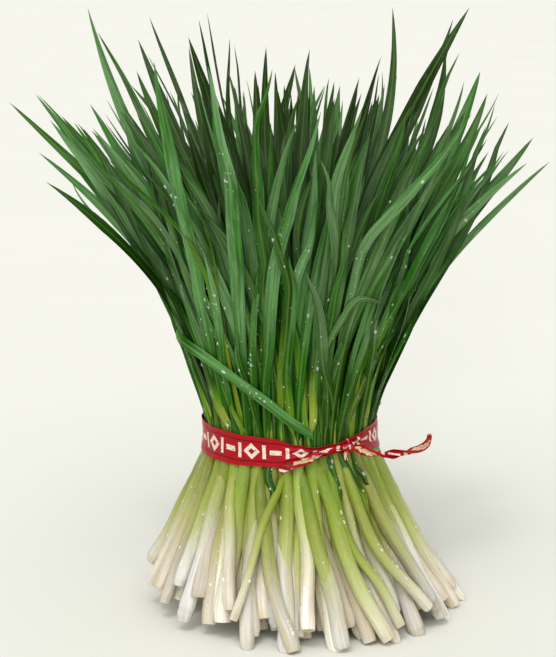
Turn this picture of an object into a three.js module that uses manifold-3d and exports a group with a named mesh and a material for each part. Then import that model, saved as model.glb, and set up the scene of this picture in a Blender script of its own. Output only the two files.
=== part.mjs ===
// A tied bunch of slim spring onions, standing on its cut ends.
// Units are millimetres, +Z is up, and the origin is the middle stem's cut end on the table.
//
// Every onion is placed in the bunch's own coordinates:
//   ring  0 at the middle of the bunch and 1 at the inside of the tie,
//   turn  degrees round the bunch, 0 at the front (-Y) and 90 at the right (+X),
//   rise  millimetres above the middle of the tie, negative below it.
// The bunch is narrow at the tie and flares both ways, so one growth factor per height spreads them all.
// Onions that keep their own ring and turn then never run through each other, however far they spread.

import * as THREE from "three";
import { mergeVertices } from "three/addons/utils/BufferGeometryUtils.js";
import Module from "manifold-3d";

const wasm = await Module();
wasm.setup();

// ---------------------------------------------------------------- driving dimensions

const TIE_HEIGHT = 95; // middle of the tie above the table
const WAIST_X = 46; // half width of the bunch inside the tie
const WAIST_Y = 44; // half depth of the bunch inside the tie
const LEAN = 11.5; // how far the bunch stands to the left of its foot
const LEAN_HEIGHT = 55; // height over which most of that lean happens

const FOOT_SLOPE = 0.465; // outward slope that the outermost stems reach at the table
const FOOT_BEND = 10; // length below the tie over which they bend outwards
const LEAF_START = 5; // height above the tie at which the leaves begin to spread
const LEAF_CURVE = 0.0033; // how quickly the outermost leaves then bend outwards, per millimetre
const LEAF_SLOPE = 0.95; // the steepest outward slope that they reach

const STEM_RADIUS_TIE = 2.7; // a stem is squeezed thinner under the tie
const STEM_RADIUS_FOOT = 3.5;
const STEM_SIDES = 5; // on the stems that are seen; those in the middle have one side fewer
const STEM_TILT = 0.09; // how far a foot strays in ring
const STEM_DRIFT = 5; // how far a foot strays in turn, in degrees
const STEM_SWAY = 2.5; // how far a stem sways in turn on its way down, in degrees
const LEFT_SHORT = 10; // the stems on the left are cut this much shorter
const LEFT_TILT = 0.1; // and splay this much more

const LEAF_WIDTH = 6.8;
const LEAF_WIDTH_SPREAD = 1.2; // a leaf is up to this much wider or narrower
const LEAF_SWAY = 2; // how far a leaf sways in turn between its root and its tip, in degrees
const LEAF_TWIST = 35; // a leaf turns up to this many degrees to either side
const SIDE_TWIST = 60; // and this much more at the two sides, where the leaves turn their faces to the front
const RIGHT_BOW = 0.13; // the leaves on the right bow outwards by this much ring at mid-length
const KEEL_DEPTH = 1.2; // thickness of a leaf along its keel
const TIP_DRIFT = 9; // how far a leaf tip strays in turn, in degrees
const TIP_TILT = 0.14; // how far it strays in ring
const CROWN_RISE = 196; // height above the tie that most leaves reach
const LEAF_LAYER = 0.05; // step in ring between the leaves of one onion

const TIE_WIDTH = 17; // the tape where it lies flat
const TIE_THICKNESS = 0.9;
const CORD_WIDTH = 5; // the tape where it is twisted into a cord
const CORD_THICKNESS = 3.6;
const KNOT_TURN = 38; // where the knot sits, in turn

const GAP = 0.3; // clear distance between neighbouring pieces
const SQUEEZE = 7.5; // the onions are pressed into one block this far above and below the tie's middle

const RING_STEP = 0.155; // distance in ring from one ring of onions to the next
const ONIONS_IN_RING = [1, 5, 8, 12, 16, 32, 40]; // from the middle outwards
const SEED = 22;

// Clumps: a set of rings, cut into equal sectors.
const CLUMPS = [
  { name: "centre", rings: [0, 1], sectors: 1, start: 0 },
  { name: "inner", rings: [2, 3], sectors: 4, start: 23 },
  { name: "outer", rings: [4, 5, 6], sectors: 8, start: 27 },
];
const LEAVES_EACH = 2;

// The tips of the longest leaves, which give the top of the bunch its outline: x, y, z.
const LEFT_TIPS = [
  [-155, -10, 274], [-132, 20, 263], [-121, -20, 265], [-141, -5, 247], [-135, -35, 236], [-129, 10, 243],
  [-119, 40, 267], [-110, -30, 263], [-102, -50, 280], [-104, 30, 276], [-116, 25, 320], [-111, -10, 311],
  [-108, 10, 309], [-88, -20, 308], [-88, 40, 295], [-84, -60, 294], [-83, 30, 315], [-79, 60, 272],
  [-74, 70, 279], [-62, -30, 304], [-63, 20, 305], [-56, 10, 315], [-53, -25, 321], [-45, 35, 303],
];
const MIDDLE_TIPS = [
  [-42, -60, 295], [-37, 30, 300], [-22, -20, 303], [-38, 80, 269], [-17, 40, 285], [-15, -70, 287],
  [-8, 60, 271], [-1, -30, 281], [2, -50, 304], [13, 50, 279], [15, -80, 284], [44, 10, 321],
  [28, 70, 266], [37, -40, 300], [44, -80, 273],
];
const RIGHT_TIPS = [
  [59, 60, 274], [75, 15, 315], [71, 40, 298], [71, -40, 302], [82, -10, 322], [92, 30, 286],
  [75, -50, 288], [92, -10, 278], [102, 45, 274], [93, -35, 276], [72, -75, 273], [117, 0, 254],
  [124, -20, 244], [110, -45, 247], [104, 30, 238], [94, 50, 242], [89, -60, 249], [80, -70, 250],
];

// Two leaves lie across the front of the others: ring, turn and rise along each, from its root to its tip.
const FRONT_LEAVES = [
  {
    clump: "outer",
    width: 6,
    points: [[0.95, 10, 6], [1.04, 3, 13], [1.09, -12, 26], [1.1, -28, 39], [1.11, -46, 49], [1.11, -66, 55]],
  },
  {
    clump: "outer",
    width: 4.5,
    points: [[0.95, 34, 6], [1.05, 32, 30], [1.09, 30.5, 60], [1.12, 33, 77], [1.13, 39, 84], [1.15, 52, 78]],
  },
];

// ---------------------------------------------------------------- the bunch's own coordinates

const radians = THREE.MathUtils.degToRad;
const degrees = THREE.MathUtils.radToDeg;
const { clamp, lerp, smoothstep } = THREE.MathUtils;

// A seeded draw from 0 to 1: the same onion and use always give the same number.
function draw(onion, use) {
  const wave = Math.sin(onion * 12.9898 + use * 78.233 + SEED * 37.719) * 43758.5453;
  return wave - Math.floor(wave);
}

// How far the outermost onions stand outside the tie at this rise.
function spread(rise) {
  if (rise < 0) return FOOT_SLOPE * (-rise - FOOT_BEND * (1 - Math.exp(rise / FOOT_BEND)));
  const run = Math.max(0, rise - LEAF_START);
  const bend = LEAF_SLOPE / LEAF_CURVE / 2;
  return run < bend ? LEAF_CURVE * run ** 2 : LEAF_SLOPE * (run - bend / 2);
}

// How much wider the bunch is at this rise than at the tie.
const growth = (rise) => 1 + spread(rise) / WAIST_X;

// Where the middle of the bunch is at this height: it leans a little to the left.
const axisX = (z) => -LEAN * (1 - Math.exp(-Math.max(z, 0) / LEAN_HEIGHT));

function place(ring, turn, rise) {
  const z = TIE_HEIGHT + rise;
  const out = ring * growth(rise);
  const x = axisX(z) + out * WAIST_X * Math.sin(radians(turn));
  const y = -out * WAIST_Y * Math.cos(radians(turn));
  return new THREE.Vector3(x, y, z);
}

// The ring, turn and rise of a point.
function locate(x, y, z) {
  const across = (x - axisX(z)) / WAIST_X;
  const forward = -y / WAIST_Y;
  const turn = degrees(Math.atan2(across, forward));
  return { ring: Math.hypot(across, forward) / growth(z - TIE_HEIGHT), turn, rise: z - TIE_HEIGHT };
}

// The same direction, written between from and from + 360.
const turnFrom = (turn, from) => from + ((((turn - from) % 360) + 360) % 360);

// ---------------------------------------------------------------- solids

function solidOf(geometry) {
  const bare = new THREE.BufferGeometry().setAttribute("position", geometry.getAttribute("position"));
  if (geometry.index) bare.setIndex(geometry.index);
  const merged = mergeVertices(bare, 1e-4);
  return new wasm.Manifold(
    new wasm.Mesh({
      numProp: 3,
      vertProperties: new Float32Array(merged.attributes.position.array),
      triVerts: new Uint32Array(merged.index.array),
    }),
  );
}

function geometryOf(solid) {
  const mesh = solid.getMesh();
  const position = new Float32Array(mesh.numVert * 3);
  for (let i = 0; i < mesh.numVert; i++)
    position.set(mesh.vertProperties.subarray(i * mesh.numProp, i * mesh.numProp + 3), i * 3);
  return new THREE.BufferGeometry()
    .setAttribute("position", new THREE.BufferAttribute(position, 3))
    .setIndex(new THREE.BufferAttribute(new Uint32Array(mesh.triVerts), 1));
}

// The outer skin of the largest body: loose scraps are dropped and hollows shut inside it are filled.
const wholeOf = (solid) => solid.decompose().sort((a, b) => b.volume() - a.volume())[0];

// A skin over rings of points, all with the same count and turning right-handed about the way they run.
// It ends in a point where tip is given, and closes on itself where loop is true.
function loft(rings, { tip = null, loop = false } = {}) {
  const sides = rings[0].length;
  const points = rings.flat();
  const faces = [];
  const spans = loop ? rings.length : rings.length - 1;
  for (let i = 0; i < spans; i++)
    for (let k = 0; k < sides; k++) {
      const a = i * sides + k;
      const b = i * sides + ((k + 1) % sides);
      const c = ((i + 1) % rings.length) * sides + k;
      const d = ((i + 1) % rings.length) * sides + ((k + 1) % sides);
      faces.push(a, b, d, a, d, c);
    }
  if (!loop) for (let k = 1; k < sides - 1; k++) faces.push(0, k + 1, k);
  const last = (rings.length - 1) * sides;
  if (tip) {
    points.push(tip);
    for (let k = 0; k < sides; k++) faces.push(last + k, last + ((k + 1) % sides), points.length - 1);
  } else if (!loop) {
    for (let k = 1; k < sides - 1; k++) faces.push(last, last + k, last + k + 1);
  }
  return new THREE.BufferGeometry().setFromPoints(points).setIndex(faces);
}

// The directions across and out from the bunch, square to the way a path runs.
function frameAt(path, t) {
  const along = path(Math.min(t + 0.01, 1)).sub(path(Math.max(t - 0.01, 0))).normalize();
  const here = path(t);
  const out = new THREE.Vector3(here.x - axisX(here.z), here.y, 0);
  if (out.length() < 1e-3) out.set(0, -1, 0);
  out.addScaledVector(along, -out.dot(along)).normalize();
  const across = new THREE.Vector3().crossVectors(along, out);
  return { here, along, out, across };
}

// ---------------------------------------------------------------- one onion

// The part of the bunch that a clump keeps to: its rings and its sector.
function territory(clump, sector) {
  const first = clump.rings[0];
  const last = clump.rings[clump.rings.length - 1];
  return {
    low: first === 0 ? 0 : (first - 0.5) * RING_STEP,
    high: last === ONIONS_IN_RING.length - 1 ? 1.3 : (last + 0.5) * RING_STEP,
    from: clump.start + (360 / clump.sectors) * sector,
    width: 360 / clump.sectors,
  };
}

// A ring and turn brought back inside the territory, with room for something this wide.
function keepInside(land, ring, turn, rise, room) {
  const scale = WAIST_Y * growth(rise);
  const inside = clamp(ring, land.low === 0 ? 0 : land.low + room / scale, land.high - room / scale);
  if (land.width === 360) return [inside, turn];
  const edge = degrees(room / (scale * inside));
  return [inside, clamp(turn, land.from + edge, land.from + land.width - edge)];
}

// A stem's path from under the tie (0) to its cut end (1), and its radius there.
function stemOf(onion) {
  const { id, ring, turn, land } = onion;
  const leftSide = smoothstep(-Math.sin(radians(turn)), 0.5, 1) * (ring > 0.7 ? 1 : 0);
  const stray = ring === 0 ? 0 : (draw(id, 1) - 0.4) * (ring > 0.9 ? 1.6 : 1) * STEM_TILT;
  const footRing = ring + stray + leftSide * LEFT_TILT;
  const footTurn = turn + (draw(id, 2) - 0.5) * 2 * (ring > 0.5 ? STEM_DRIFT : STEM_DRIFT / 2);
  const lift = (onion.standing && !leftSide ? -2 : 13 * draw(id, 3) ** 1.3) + leftSide * LEFT_SHORT;
  const size = 1 + (draw(id, 4) - 0.5) * 0.22;
  const top = 1 - SQUEEZE;
  const path = (t) => {
    const rise = top + (lift - TIE_HEIGHT - top) * t;
    const drift = t ** 1.4;
    const room = t === 0 ? 0 : STEM_RADIUS_FOOT * size + GAP / 2;
    const sway = STEM_SWAY * (draw(id, 6) * 2 - 1) * Math.sin(Math.PI * t);
    const spot = [ring + (footRing - ring) * drift, turn + (footTurn - turn) * drift + sway];
    return place(...keepInside(land, ...spot, rise, room), rise);
  };
  const radius = (t) => size * lerp(STEM_RADIUS_TIE, STEM_RADIUS_FOOT, Math.min(1, t * 1.8));
  return { path, radius };
}

function stemGeometry(onion) {
  const { path, radius } = stemOf(onion);
  const stations = onion.ring > 0.9 ? [0, 0.1, 0.5, 1] : [0, 0.25, 1];
  const sides = onion.ring > 0.7 ? STEM_SIDES : STEM_SIDES - 1;
  const rings = stations.map((t) => {
    const { here, out, across } = frameAt(path, t);
    const size = t === 0 ? 0.6 * radius(t) : radius(t);
    return Array.from({ length: sides }, (_, k) => {
      const angle = (2 * Math.PI * k) / sides;
      return here
        .clone()
        .addScaledVector(out, size * Math.cos(angle))
        .addScaledVector(across, size * Math.sin(angle));
    });
  });
  return loft(rings);
}

// A leaf's path from under the tie (0) to its tip (1), its width, and the way its face is turned.
// The leaves of one onion lie face to face, and the onion's own stray carries them all the same way.
function leafOf(onion, layer) {
  const { id, ring, turn, land } = onion;
  const key = id + 1000 * (layer + 1);
  const hand = draw(id, 8) < 0.5 ? -1 : 1;
  const faceTurn = (draw(id, 9) * 2 - 1) * LEAF_TWIST + hand * SIDE_TWIST * Math.sin(radians(turn)) ** 2;
  const offset = LEAF_LAYER * (layer - (LEAVES_EACH - 1) / 2);
  const rootRing = Math.abs(ring + offset * Math.cos(radians(faceTurn)));
  const rootTurn = turn - degrees((offset * Math.sin(radians(faceTurn))) / Math.max(ring, RING_STEP));
  const width = LEAF_WIDTH + (draw(key, 2) * 2 - 1) * LEAF_WIDTH_SPREAD;

  let tip = onion.longTips[LEAVES_EACH - 1 - layer];
  if (!tip) {
    const strayTurn = (draw(id, 4) * 2 - 1) * 0.6 + (draw(key, 4) * 2 - 1) * 0.4;
    const strayRing = (draw(id, 5) * 2 - 1) * 0.6 + (draw(key, 5) * 2 - 1) * 0.4;
    const short = draw(key, 6) < 0.1 ? 0.3 * draw(key, 7) : 0;
    const tipRing = Math.min(1.04, rootRing + strayRing * TIP_TILT);
    const lean = (0.1 + 0.12 * Math.sin(radians(turn)) ** 2) * tipRing ** 2;
    const reach = CROWN_RISE * (1 - lean) * (1 - 0.15 * draw(key, 7) ** 1.4 - short);
    tip = { ring: tipRing, turn: rootTurn + (strayTurn * TIP_DRIFT) / Math.max(ring, 0.4), rise: reach };
  }
  const root = SQUEEZE - 1.5;
  const path = (t) => {
    const rise = root + (tip.rise - root) * t;
    const drift = t ** 1.5;
    const bow = RIGHT_BOW * Math.max(0, Math.sin(radians(turn))) * ring * Math.sin(Math.PI * t);
    const sway = (LEAF_SWAY * (draw(key, 10) * 2 - 1) * Math.sin(2 * Math.PI * t)) / Math.max(ring, 0.4);
    const spot = [rootRing + (tip.ring - rootRing) * drift + bow, rootTurn + (tip.turn - rootTurn) * drift + sway];
    const room = t < 0.02 ? 0 : Math.min(0.6 * width, 1.5 + 14 * t);
    return place(...(room ? keepInside(land, ...spot, rise, room) : spot), rise);
  };
  const twist = (t) => radians(faceTurn + (draw(key, 3) * 2 - 1) * LEAF_TWIST * t);
  return { path, width, twist };
}

// A strap leaf: flat on its inner face, keeled on its outer face, and drawn out to a point.
function strap({ path, width, twist }, stations) {
  const rings = stations.map((t) => {
    const { here, out, across } = frameAt(path, t);
    const half = 0.5 * width * (0.7 + 0.3 * smoothstep(t, 0, 0.3)) * (1 - 0.3 * smoothstep(t, 0.5, 0.85));
    const angle = twist(t);
    const side = across.clone().multiplyScalar(Math.cos(angle)).addScaledVector(out, Math.sin(angle));
    const face = out.clone().multiplyScalar(Math.cos(angle)).addScaledVector(across, -Math.sin(angle));
    const keel = KEEL_DEPTH * (1 - 0.3 * t);
    return [
      here.clone().addScaledVector(side, -half).addScaledVector(face, -0.3 * keel),
      here.clone().addScaledVector(face, 0.7 * keel),
      here.clone().addScaledVector(side, half).addScaledVector(face, -0.3 * keel),
    ];
  });
  return loft(rings, { tip: path(1) });
}

function leafGeometry(onion, layer) {
  const shift = (draw(onion.id, 11 + layer) - 0.5) * 0.1;
  const stations = onion.ring > 0.5 ? [0, 0.3 + shift, 0.6 + shift, 0.87] : [0, 0.45 + shift, 0.85];
  return strap(leafOf(onion, layer), stations);
}

function frontLeaf({ points, width }) {
  const curve = new THREE.CatmullRomCurve3(points.map((point) => place(...point)));
  const path = (t) => curve.getPointAt(t);
  return strap({ path, width, twist: () => 0 }, [0, 0.12, 0.3, 0.5, 0.7, 0.87]);
}

// ---------------------------------------------------------------- clumps of onions

// All the onions, each with its clump's territory.
function plant() {
  const onions = [];
  for (const clump of CLUMPS)
    for (const level of clump.rings)
      for (let i = 0; i < ONIONS_IN_RING[level]; i++) {
        const turn = clump.start + ((i + 0.5) * 360) / ONIONS_IN_RING[level];
        const sector = Math.floor((turn - clump.start) / (360 / clump.sectors));
        onions.push({
          id: onions.length,
          clump: clump.name,
          sector,
          ring: level * RING_STEP,
          turn,
          land: territory(clump, sector),
          standing: level % 2 === 0 && i % 2 === 0,
          longTips: [],
        });
      }
  // The nearest onion round the bunch takes each long tip, from the outer rings where it can.
  for (const [x, y, z] of [...LEFT_TIPS, ...MIDDLE_TIPS, ...RIGHT_TIPS]) {
    const { ring, turn, rise } = locate(x, y, z);
    const cost = (o) =>
      Math.abs(turnFrom(turn, o.turn - 180) - o.turn) + 40 * Math.abs(o.ring - ring - 0.1) + 12 * o.longTips.length;
    const near = onions
      .filter(({ land, longTips }) => longTips.length < LEAVES_EACH && ring > land.low && ring < land.high)
      .filter(({ land }) => turnFrom(turn, land.from) < land.from + land.width)
      .sort((a, b) => cost(a) - cost(b))[0];
    near.longTips.push({ ring, turn: turnFrom(turn, near.turn - 180), rise });
  }
  return onions;
}

// The block that a clump is pressed into under the tie, ribbed on the outside by its outer onions.
function squeezedBlock(land, fromRise, toRise) {
  const low = land.low === 0 ? 0 : land.low + GAP / 2 / WAIST_Y;
  const outermost = land.high > 1;
  const high = (outermost ? 0.93 : land.high) - (outermost ? 0 : GAP / 2 / WAIST_Y);
  const edge = (ring) => (land.width === 360 ? 0 : degrees(GAP / 2 / (WAIST_Y * ring)));
  const arc = (ring, steps, rib) =>
    Array.from({ length: steps + 1 }, (_, i) => {
      const angle = radians(land.from + edge(ring) + ((land.width - 2 * edge(ring)) * i) / steps);
      const bump = rib ? (i % 2 ? STEM_RADIUS_TIE : 0.8) : 0;
      return new THREE.Vector2(
        (ring * WAIST_X + bump) * Math.sin(angle),
        -(ring * WAIST_Y + bump) * Math.cos(angle),
      );
    });
  const onionsAcross = (ONIONS_IN_RING[ONIONS_IN_RING.length - 1] * land.width) / 360;
  const steps = Math.ceil(land.width / 12);
  const outline = outermost ? arc(high, 2 * onionsAcross, true) : arc(high, steps, false);
  if (land.width === 360) outline.pop();
  else outline.push(...arc(low, steps, false).reverse());
  const depth = toRise - fromRise;
  const block = new THREE.ExtrudeGeometry(new THREE.Shape(outline), { depth, bevelEnabled: false });
  return block.translate(axisX(TIE_HEIGHT), 0, TIE_HEIGHT + fromRise);
}

const table = solidOf(new THREE.BoxGeometry(400, 400, 40).translate(0, 0, -20));

function clumpStems(onions, land) {
  const block = solidOf(squeezedBlock(land, -SQUEEZE, -GAP / 2));
  const stems = onions.map((onion) => solidOf(stemGeometry(onion)));
  return wholeOf(stems.reduce((made, stem) => made.add(stem), block).subtract(table));
}

function clumpLeaves(onions, land) {
  let made = solidOf(squeezedBlock(land, GAP / 2, SQUEEZE));
  for (const onion of onions)
    for (let layer = 0; layer < LEAVES_EACH; layer++) made = made.add(solidOf(leafGeometry(onion, layer)));
  const rootedHere = ({ clump, points: [[, turn]] }) =>
    clump === onions[0].clump && turnFrom(turn, land.from) < land.from + land.width;
  for (const leaf of FRONT_LEAVES.filter(rootedHere)) made = made.add(solidOf(frontLeaf(leaf)));
  return wholeOf(made);
}

// ---------------------------------------------------------------- the tie

// The tape as it goes round: turn, rise of its middle, width and thickness.
// It lies flat at the sides and back, and is gathered towards the knot from both sides.
const TAPE = [
  [-90, 0.5, TIE_WIDTH, TIE_THICKNESS],
  [-48, 1, TIE_WIDTH, TIE_THICKNESS],
  [-10, 0.5, 15, TIE_THICKNESS],
  [4, 0.4, 9, 1.6],
  [15, 0.6, CORD_WIDTH, 2.2],
  [KNOT_TURN - 8, 2, CORD_WIDTH, 3],
  [KNOT_TURN, 2.6, 7.5, 5.5],
  [KNOT_TURN + 8, 3.4, 8, 2.2],
  [60, 3.2, 12, 1.2],
  [82, 1.5, TIE_WIDTH - 1, TIE_THICKNESS],
  [180, 0, TIE_WIDTH, TIE_THICKNESS],
  [270, 0.5, TIE_WIDTH, TIE_THICKNESS],
];

function tapeAt(turn) {
  const here = turnFrom(turn, TAPE[0][0]);
  const next = TAPE.findIndex(([at]) => at > here);
  const [from, to] = [TAPE[next - 1], TAPE[next]];
  const share = smoothstep(here, from[0], to[0]);
  const [, rise, width, thickness] = from.map((value, i) => lerp(value, to[i], share));
  return { rise, width, thickness };
}

function tieBand() {
  const stations = 45;
  const rings = Array.from({ length: stations }, (_, i) => {
    const turn = (360 * i) / stations;
    const { rise, width, thickness } = tapeAt(turn);
    const out = new THREE.Vector3(Math.sin(radians(turn)), -Math.cos(radians(turn)), 0);
    const at = (depth, up) => place(1, turn, rise + up).addScaledVector(out, 0.5 + depth);
    return [
      at(0, width / 2),
      at(thickness * 0.75, width / 2),
      at(thickness, width / 4),
      at(thickness, -width / 4),
      at(thickness * 0.75, -width / 2),
      at(0, -width / 2),
    ];
  });
  return loft(rings, { loop: true });
}

// A length of twisted tape along a curve, a flattened six-sided cord.
function cord(points, width, thickness, steps) {
  const path = new THREE.CatmullRomCurve3(points);
  const rings = Array.from({ length: steps + 1 }, (_, i) => {
    const here = path.getPointAt(i / steps);
    const along = path.getTangentAt(i / steps);
    const deep = new THREE.Vector3(0, 1, 0).addScaledVector(along, -along.y).normalize();
    const up = new THREE.Vector3().crossVectors(along, deep);
    return Array.from({ length: 6 }, (_, k) => {
      const angle = (2 * Math.PI * k) / 6;
      return here
        .clone()
        .addScaledVector(up, (width / 2) * Math.cos(angle))
        .addScaledVector(deep, (-thickness / 2) * Math.sin(angle));
    });
  });
  return loft(rings);
}

// A point this far outside the inner face of the tape.
function onTape(turn, rise, depth) {
  const out = new THREE.Vector3(Math.sin(radians(turn)), -Math.cos(radians(turn)), 0);
  return place(1, turn, rise).addScaledVector(out, 0.5 + depth);
}

function tie() {
  const knot = onTape(KNOT_TURN, 2.6, 2.5);
  // The end that crosses the front: folded over at its lower corner and twisted up to the knot.
  const front = cord(
    [
      onTape(-7, -8.6, 1.6),
      onTape(1, -5.9, 2.2),
      onTape(9, -3, 2.4),
      onTape(18, 0.4, 2.4),
      onTape(29, 2.4, 2.6),
      knot,
    ],
    CORD_WIDTH,
    CORD_THICKNESS,
    9,
  );
  // The loose end, which stands out stiffly to the right and ends in a small hook.
  const tail = cord(
    [
      knot,
      new THREE.Vector3(30, -41, 95.4),
      new THREE.Vector3(42, -40, 93.8),
      new THREE.Vector3(52, -39, 94.5),
      new THREE.Vector3(60.5, -38, 98),
      new THREE.Vector3(63, -38, 104),
    ],
    CORD_WIDTH,
    CORD_THICKNESS,
    11,
  );
  // The short end that sticks out under the knot.
  const stub = cord([knot, onTape(KNOT_TURN - 2, -1, 3), onTape(KNOT_TURN - 3, -4.5, 3.4)], 3.6, 2.4, 2);
  return [front, tail, stub].reduce((made, end) => made.add(solidOf(end)), solidOf(tieBand()));
}

// ---------------------------------------------------------------- the bunch

const finish = (color, roughness) => new THREE.MeshStandardMaterial({ color, roughness, metalness: 0 });
const stemFinish = finish(0xdfe6b8, 0.45);
const leafFinish = finish(0x2f6b26, 0.5);
const tieFinish = finish(0xc4151f, 0.5);

function named(name, solid, material) {
  const mesh = new THREE.Mesh(geometryOf(solid), material);
  mesh.name = name;
  return mesh;
}

const bunch = new THREE.Group();
const onions = plant();
for (const clump of CLUMPS)
  for (let sector = 0; sector < clump.sectors; sector++) {
    const members = onions.filter((o) => o.clump === clump.name && o.sector === sector);
    const label = clump.sectors === 1 ? clump.name : `${clump.name}_${String(sector + 1).padStart(2, "0")}`;
    const land = territory(clump, sector);
    bunch.add(named(`stems_${label}`, clumpStems(members, land), stemFinish));
    bunch.add(named(`leaves_${label}`, clumpLeaves(members, land), leafFinish));
  }
bunch.add(named("tie", wholeOf(tie()), tieFinish));

export default bunch;
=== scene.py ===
# %% [markdown]
# # A bunch of spring onions tied with printed tape
#
# The bunch is about 320 mm tall. It stands on its cut ends and flares both ways from a red tape.
# The solids of the part are already right in size and place, so they are loaded as a fixed frame.
# Each clump of plain solids is then replaced by finer shoots and blades that follow the same paths.
# First comes the law by which the bunch spreads, then the tissue, the shoots, the blades, the water
# on them, the tape, and at the end the floor, the light and the camera. All sizes below are in
# millimetres and are turned into metres only when a mesh is made.

# %% Load the frame
import math

import bpy
import numpy as np
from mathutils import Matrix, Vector


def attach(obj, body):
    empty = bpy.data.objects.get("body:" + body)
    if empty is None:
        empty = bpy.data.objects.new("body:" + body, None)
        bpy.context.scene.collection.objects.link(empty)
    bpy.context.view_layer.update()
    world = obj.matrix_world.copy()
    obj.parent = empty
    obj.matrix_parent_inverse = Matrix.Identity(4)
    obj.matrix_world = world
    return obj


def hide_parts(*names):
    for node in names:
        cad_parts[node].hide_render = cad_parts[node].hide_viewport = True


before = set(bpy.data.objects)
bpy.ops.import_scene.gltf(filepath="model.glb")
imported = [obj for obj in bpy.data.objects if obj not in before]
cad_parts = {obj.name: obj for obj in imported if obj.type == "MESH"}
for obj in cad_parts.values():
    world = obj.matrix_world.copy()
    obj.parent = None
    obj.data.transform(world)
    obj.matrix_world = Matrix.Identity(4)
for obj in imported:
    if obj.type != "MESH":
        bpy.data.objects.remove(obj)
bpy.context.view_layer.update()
print("nodes in the frame:", len(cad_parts))

# %% [markdown]
# ## The bunch's own coordinates
#
# A tied bunch has one simple law: whatever is packed side by side at the tie stays side by side,
# and only spreads. So each shoot gets a *ring* (0 in the middle, 1 at the tape), a *turn* (degrees
# round the bunch, 0 at the front) and a *rise* above the tie. One growth factor spreads them all.
# Working in these coordinates keeps hundreds of leaves from running through each other.

# %% Sizes of the bunch
TIE_HEIGHT = 95  # the middle of the tape above the table
WAIST_X, WAIST_Y = 46, 44  # half the width and half the depth of the bunch at the tape
LEAN, LEAN_HEIGHT = 11.5, 55  # how far the bunch leans to the left, and within what height
FOOT_SLOPE, FOOT_BEND = 0.465, 10  # how fast it widens downwards, and how soon
LEAF_START, LEAF_CURVE, LEAF_SLOPE = 5, 0.0033, 0.95  # where, how softly and how fast it widens upwards
RING_STEP = 0.155  # from one ring of onions to the next, where 1 is the tape
print("width and depth at the tape:", 2 * WAIST_X, 2 * WAIST_Y)

# %% Draws that never change, and a soft step
SEED = 22


def draw(onion, use):
    """A seeded draw from 0 to 1: the same onion and use always give the same number."""
    wave = math.sin(onion * 12.9898 + use * 78.233 + SEED * 37.719) * 43758.5453
    return wave - math.floor(wave)


def swing(onion, use):
    """A seeded draw from -1 to 1."""
    return draw(onion, use) * 2 - 1


def phase(onion, use):
    """A seeded angle in radians, anywhere round a circle."""
    return 6.3 * draw(onion, use)


def smooth(x, low, high):
    """Goes smoothly from 0 at low to 1 at high."""
    share = np.clip((np.asarray(x, float) - low) / (high - low), 0, 1)
    return share * share * (3 - 2 * share)


print("the first draws:", [round(draw(number, 1), 2) for number in range(4)])


# %% How the bunch spreads
def spread(rise):
    """How far the outermost onions stand outside the tie at this rise."""
    rise = np.asarray(rise, float)
    below = FOOT_SLOPE * (-rise - FOOT_BEND * (1 - np.exp(np.minimum(rise, 0) / FOOT_BEND)))
    run = np.maximum(0, rise - LEAF_START)
    bend = LEAF_SLOPE / LEAF_CURVE / 2
    above = np.where(run < bend, LEAF_CURVE * run**2, LEAF_SLOPE * (run - bend / 2))
    return np.where(rise < 0, below, above)


def growth(rise):
    """How much wider the bunch is at this rise than at the tie."""
    return 1 + spread(rise) / WAIST_X


def axis_x(z):
    """Where the middle of the bunch is at this height: it leans a little to the left."""
    return -LEAN * (1 - np.exp(-np.maximum(z, 0) / LEAN_HEIGHT))


print("width at the table:", round(float(2 * WAIST_X * growth(-TIE_HEIGHT)), 1))


# %% From ring, turn and rise to a point, and back
def place(ring, turn, rise):
    """The point at this ring, turn and rise."""
    ring, turn, rise = np.broadcast_arrays(*[np.asarray(v, float) for v in (ring, turn, rise)])
    z = TIE_HEIGHT + rise
    out = ring * growth(rise)
    x = axis_x(z) + out * WAIST_X * np.sin(np.radians(turn))
    y = -out * WAIST_Y * np.cos(np.radians(turn))
    return np.stack([x, y, z], -1)


def locate(x, y, z):
    """The ring, turn and rise of a point."""
    across = (x - axis_x(z)) / WAIST_X
    forward = -y / WAIST_Y
    ring = math.hypot(across, forward) / float(growth(z - TIE_HEIGHT))
    return ring, math.degrees(math.atan2(across, forward)), z - TIE_HEIGHT


def turn_from(turn, start):
    """The same direction, written between start and start + 360."""
    return start + (turn - start) % 360


print("the front of the tape:", place(1, 0, 0).round(1).tolist())

# %% [markdown]
# ## Planting the onions
#
# One onion stands in the middle and six rings stand round it, like the strands of a rope. They
# belong to clumps: the middle, four inner sectors and eight outer ones. A clump keeps to its own
# territory, so that the fine pieces made here stay as clear of each other as the solids that they
# stand for. The tallest tips draw the outline of the top, so those are set one by one, and the
# nearest onion takes each.

# %% Rings and clumps
ONIONS_IN_RING = [1, 5, 8, 12, 16, 32, 40]
CLUMPS = {
    "centre": {"rings": [0, 1], "sectors": 1, "start": 0},
    "inner": {"rings": [2, 3], "sectors": 4, "start": 23},
    "outer": {"rings": [4, 5, 6], "sectors": 8, "start": 27},
}
LEAVES_EACH = 2
OPEN_RING = 1.3  # the outermost clumps may reach this far, as nothing stands outside them
print("onions in the rings:", ONIONS_IN_RING)

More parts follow.
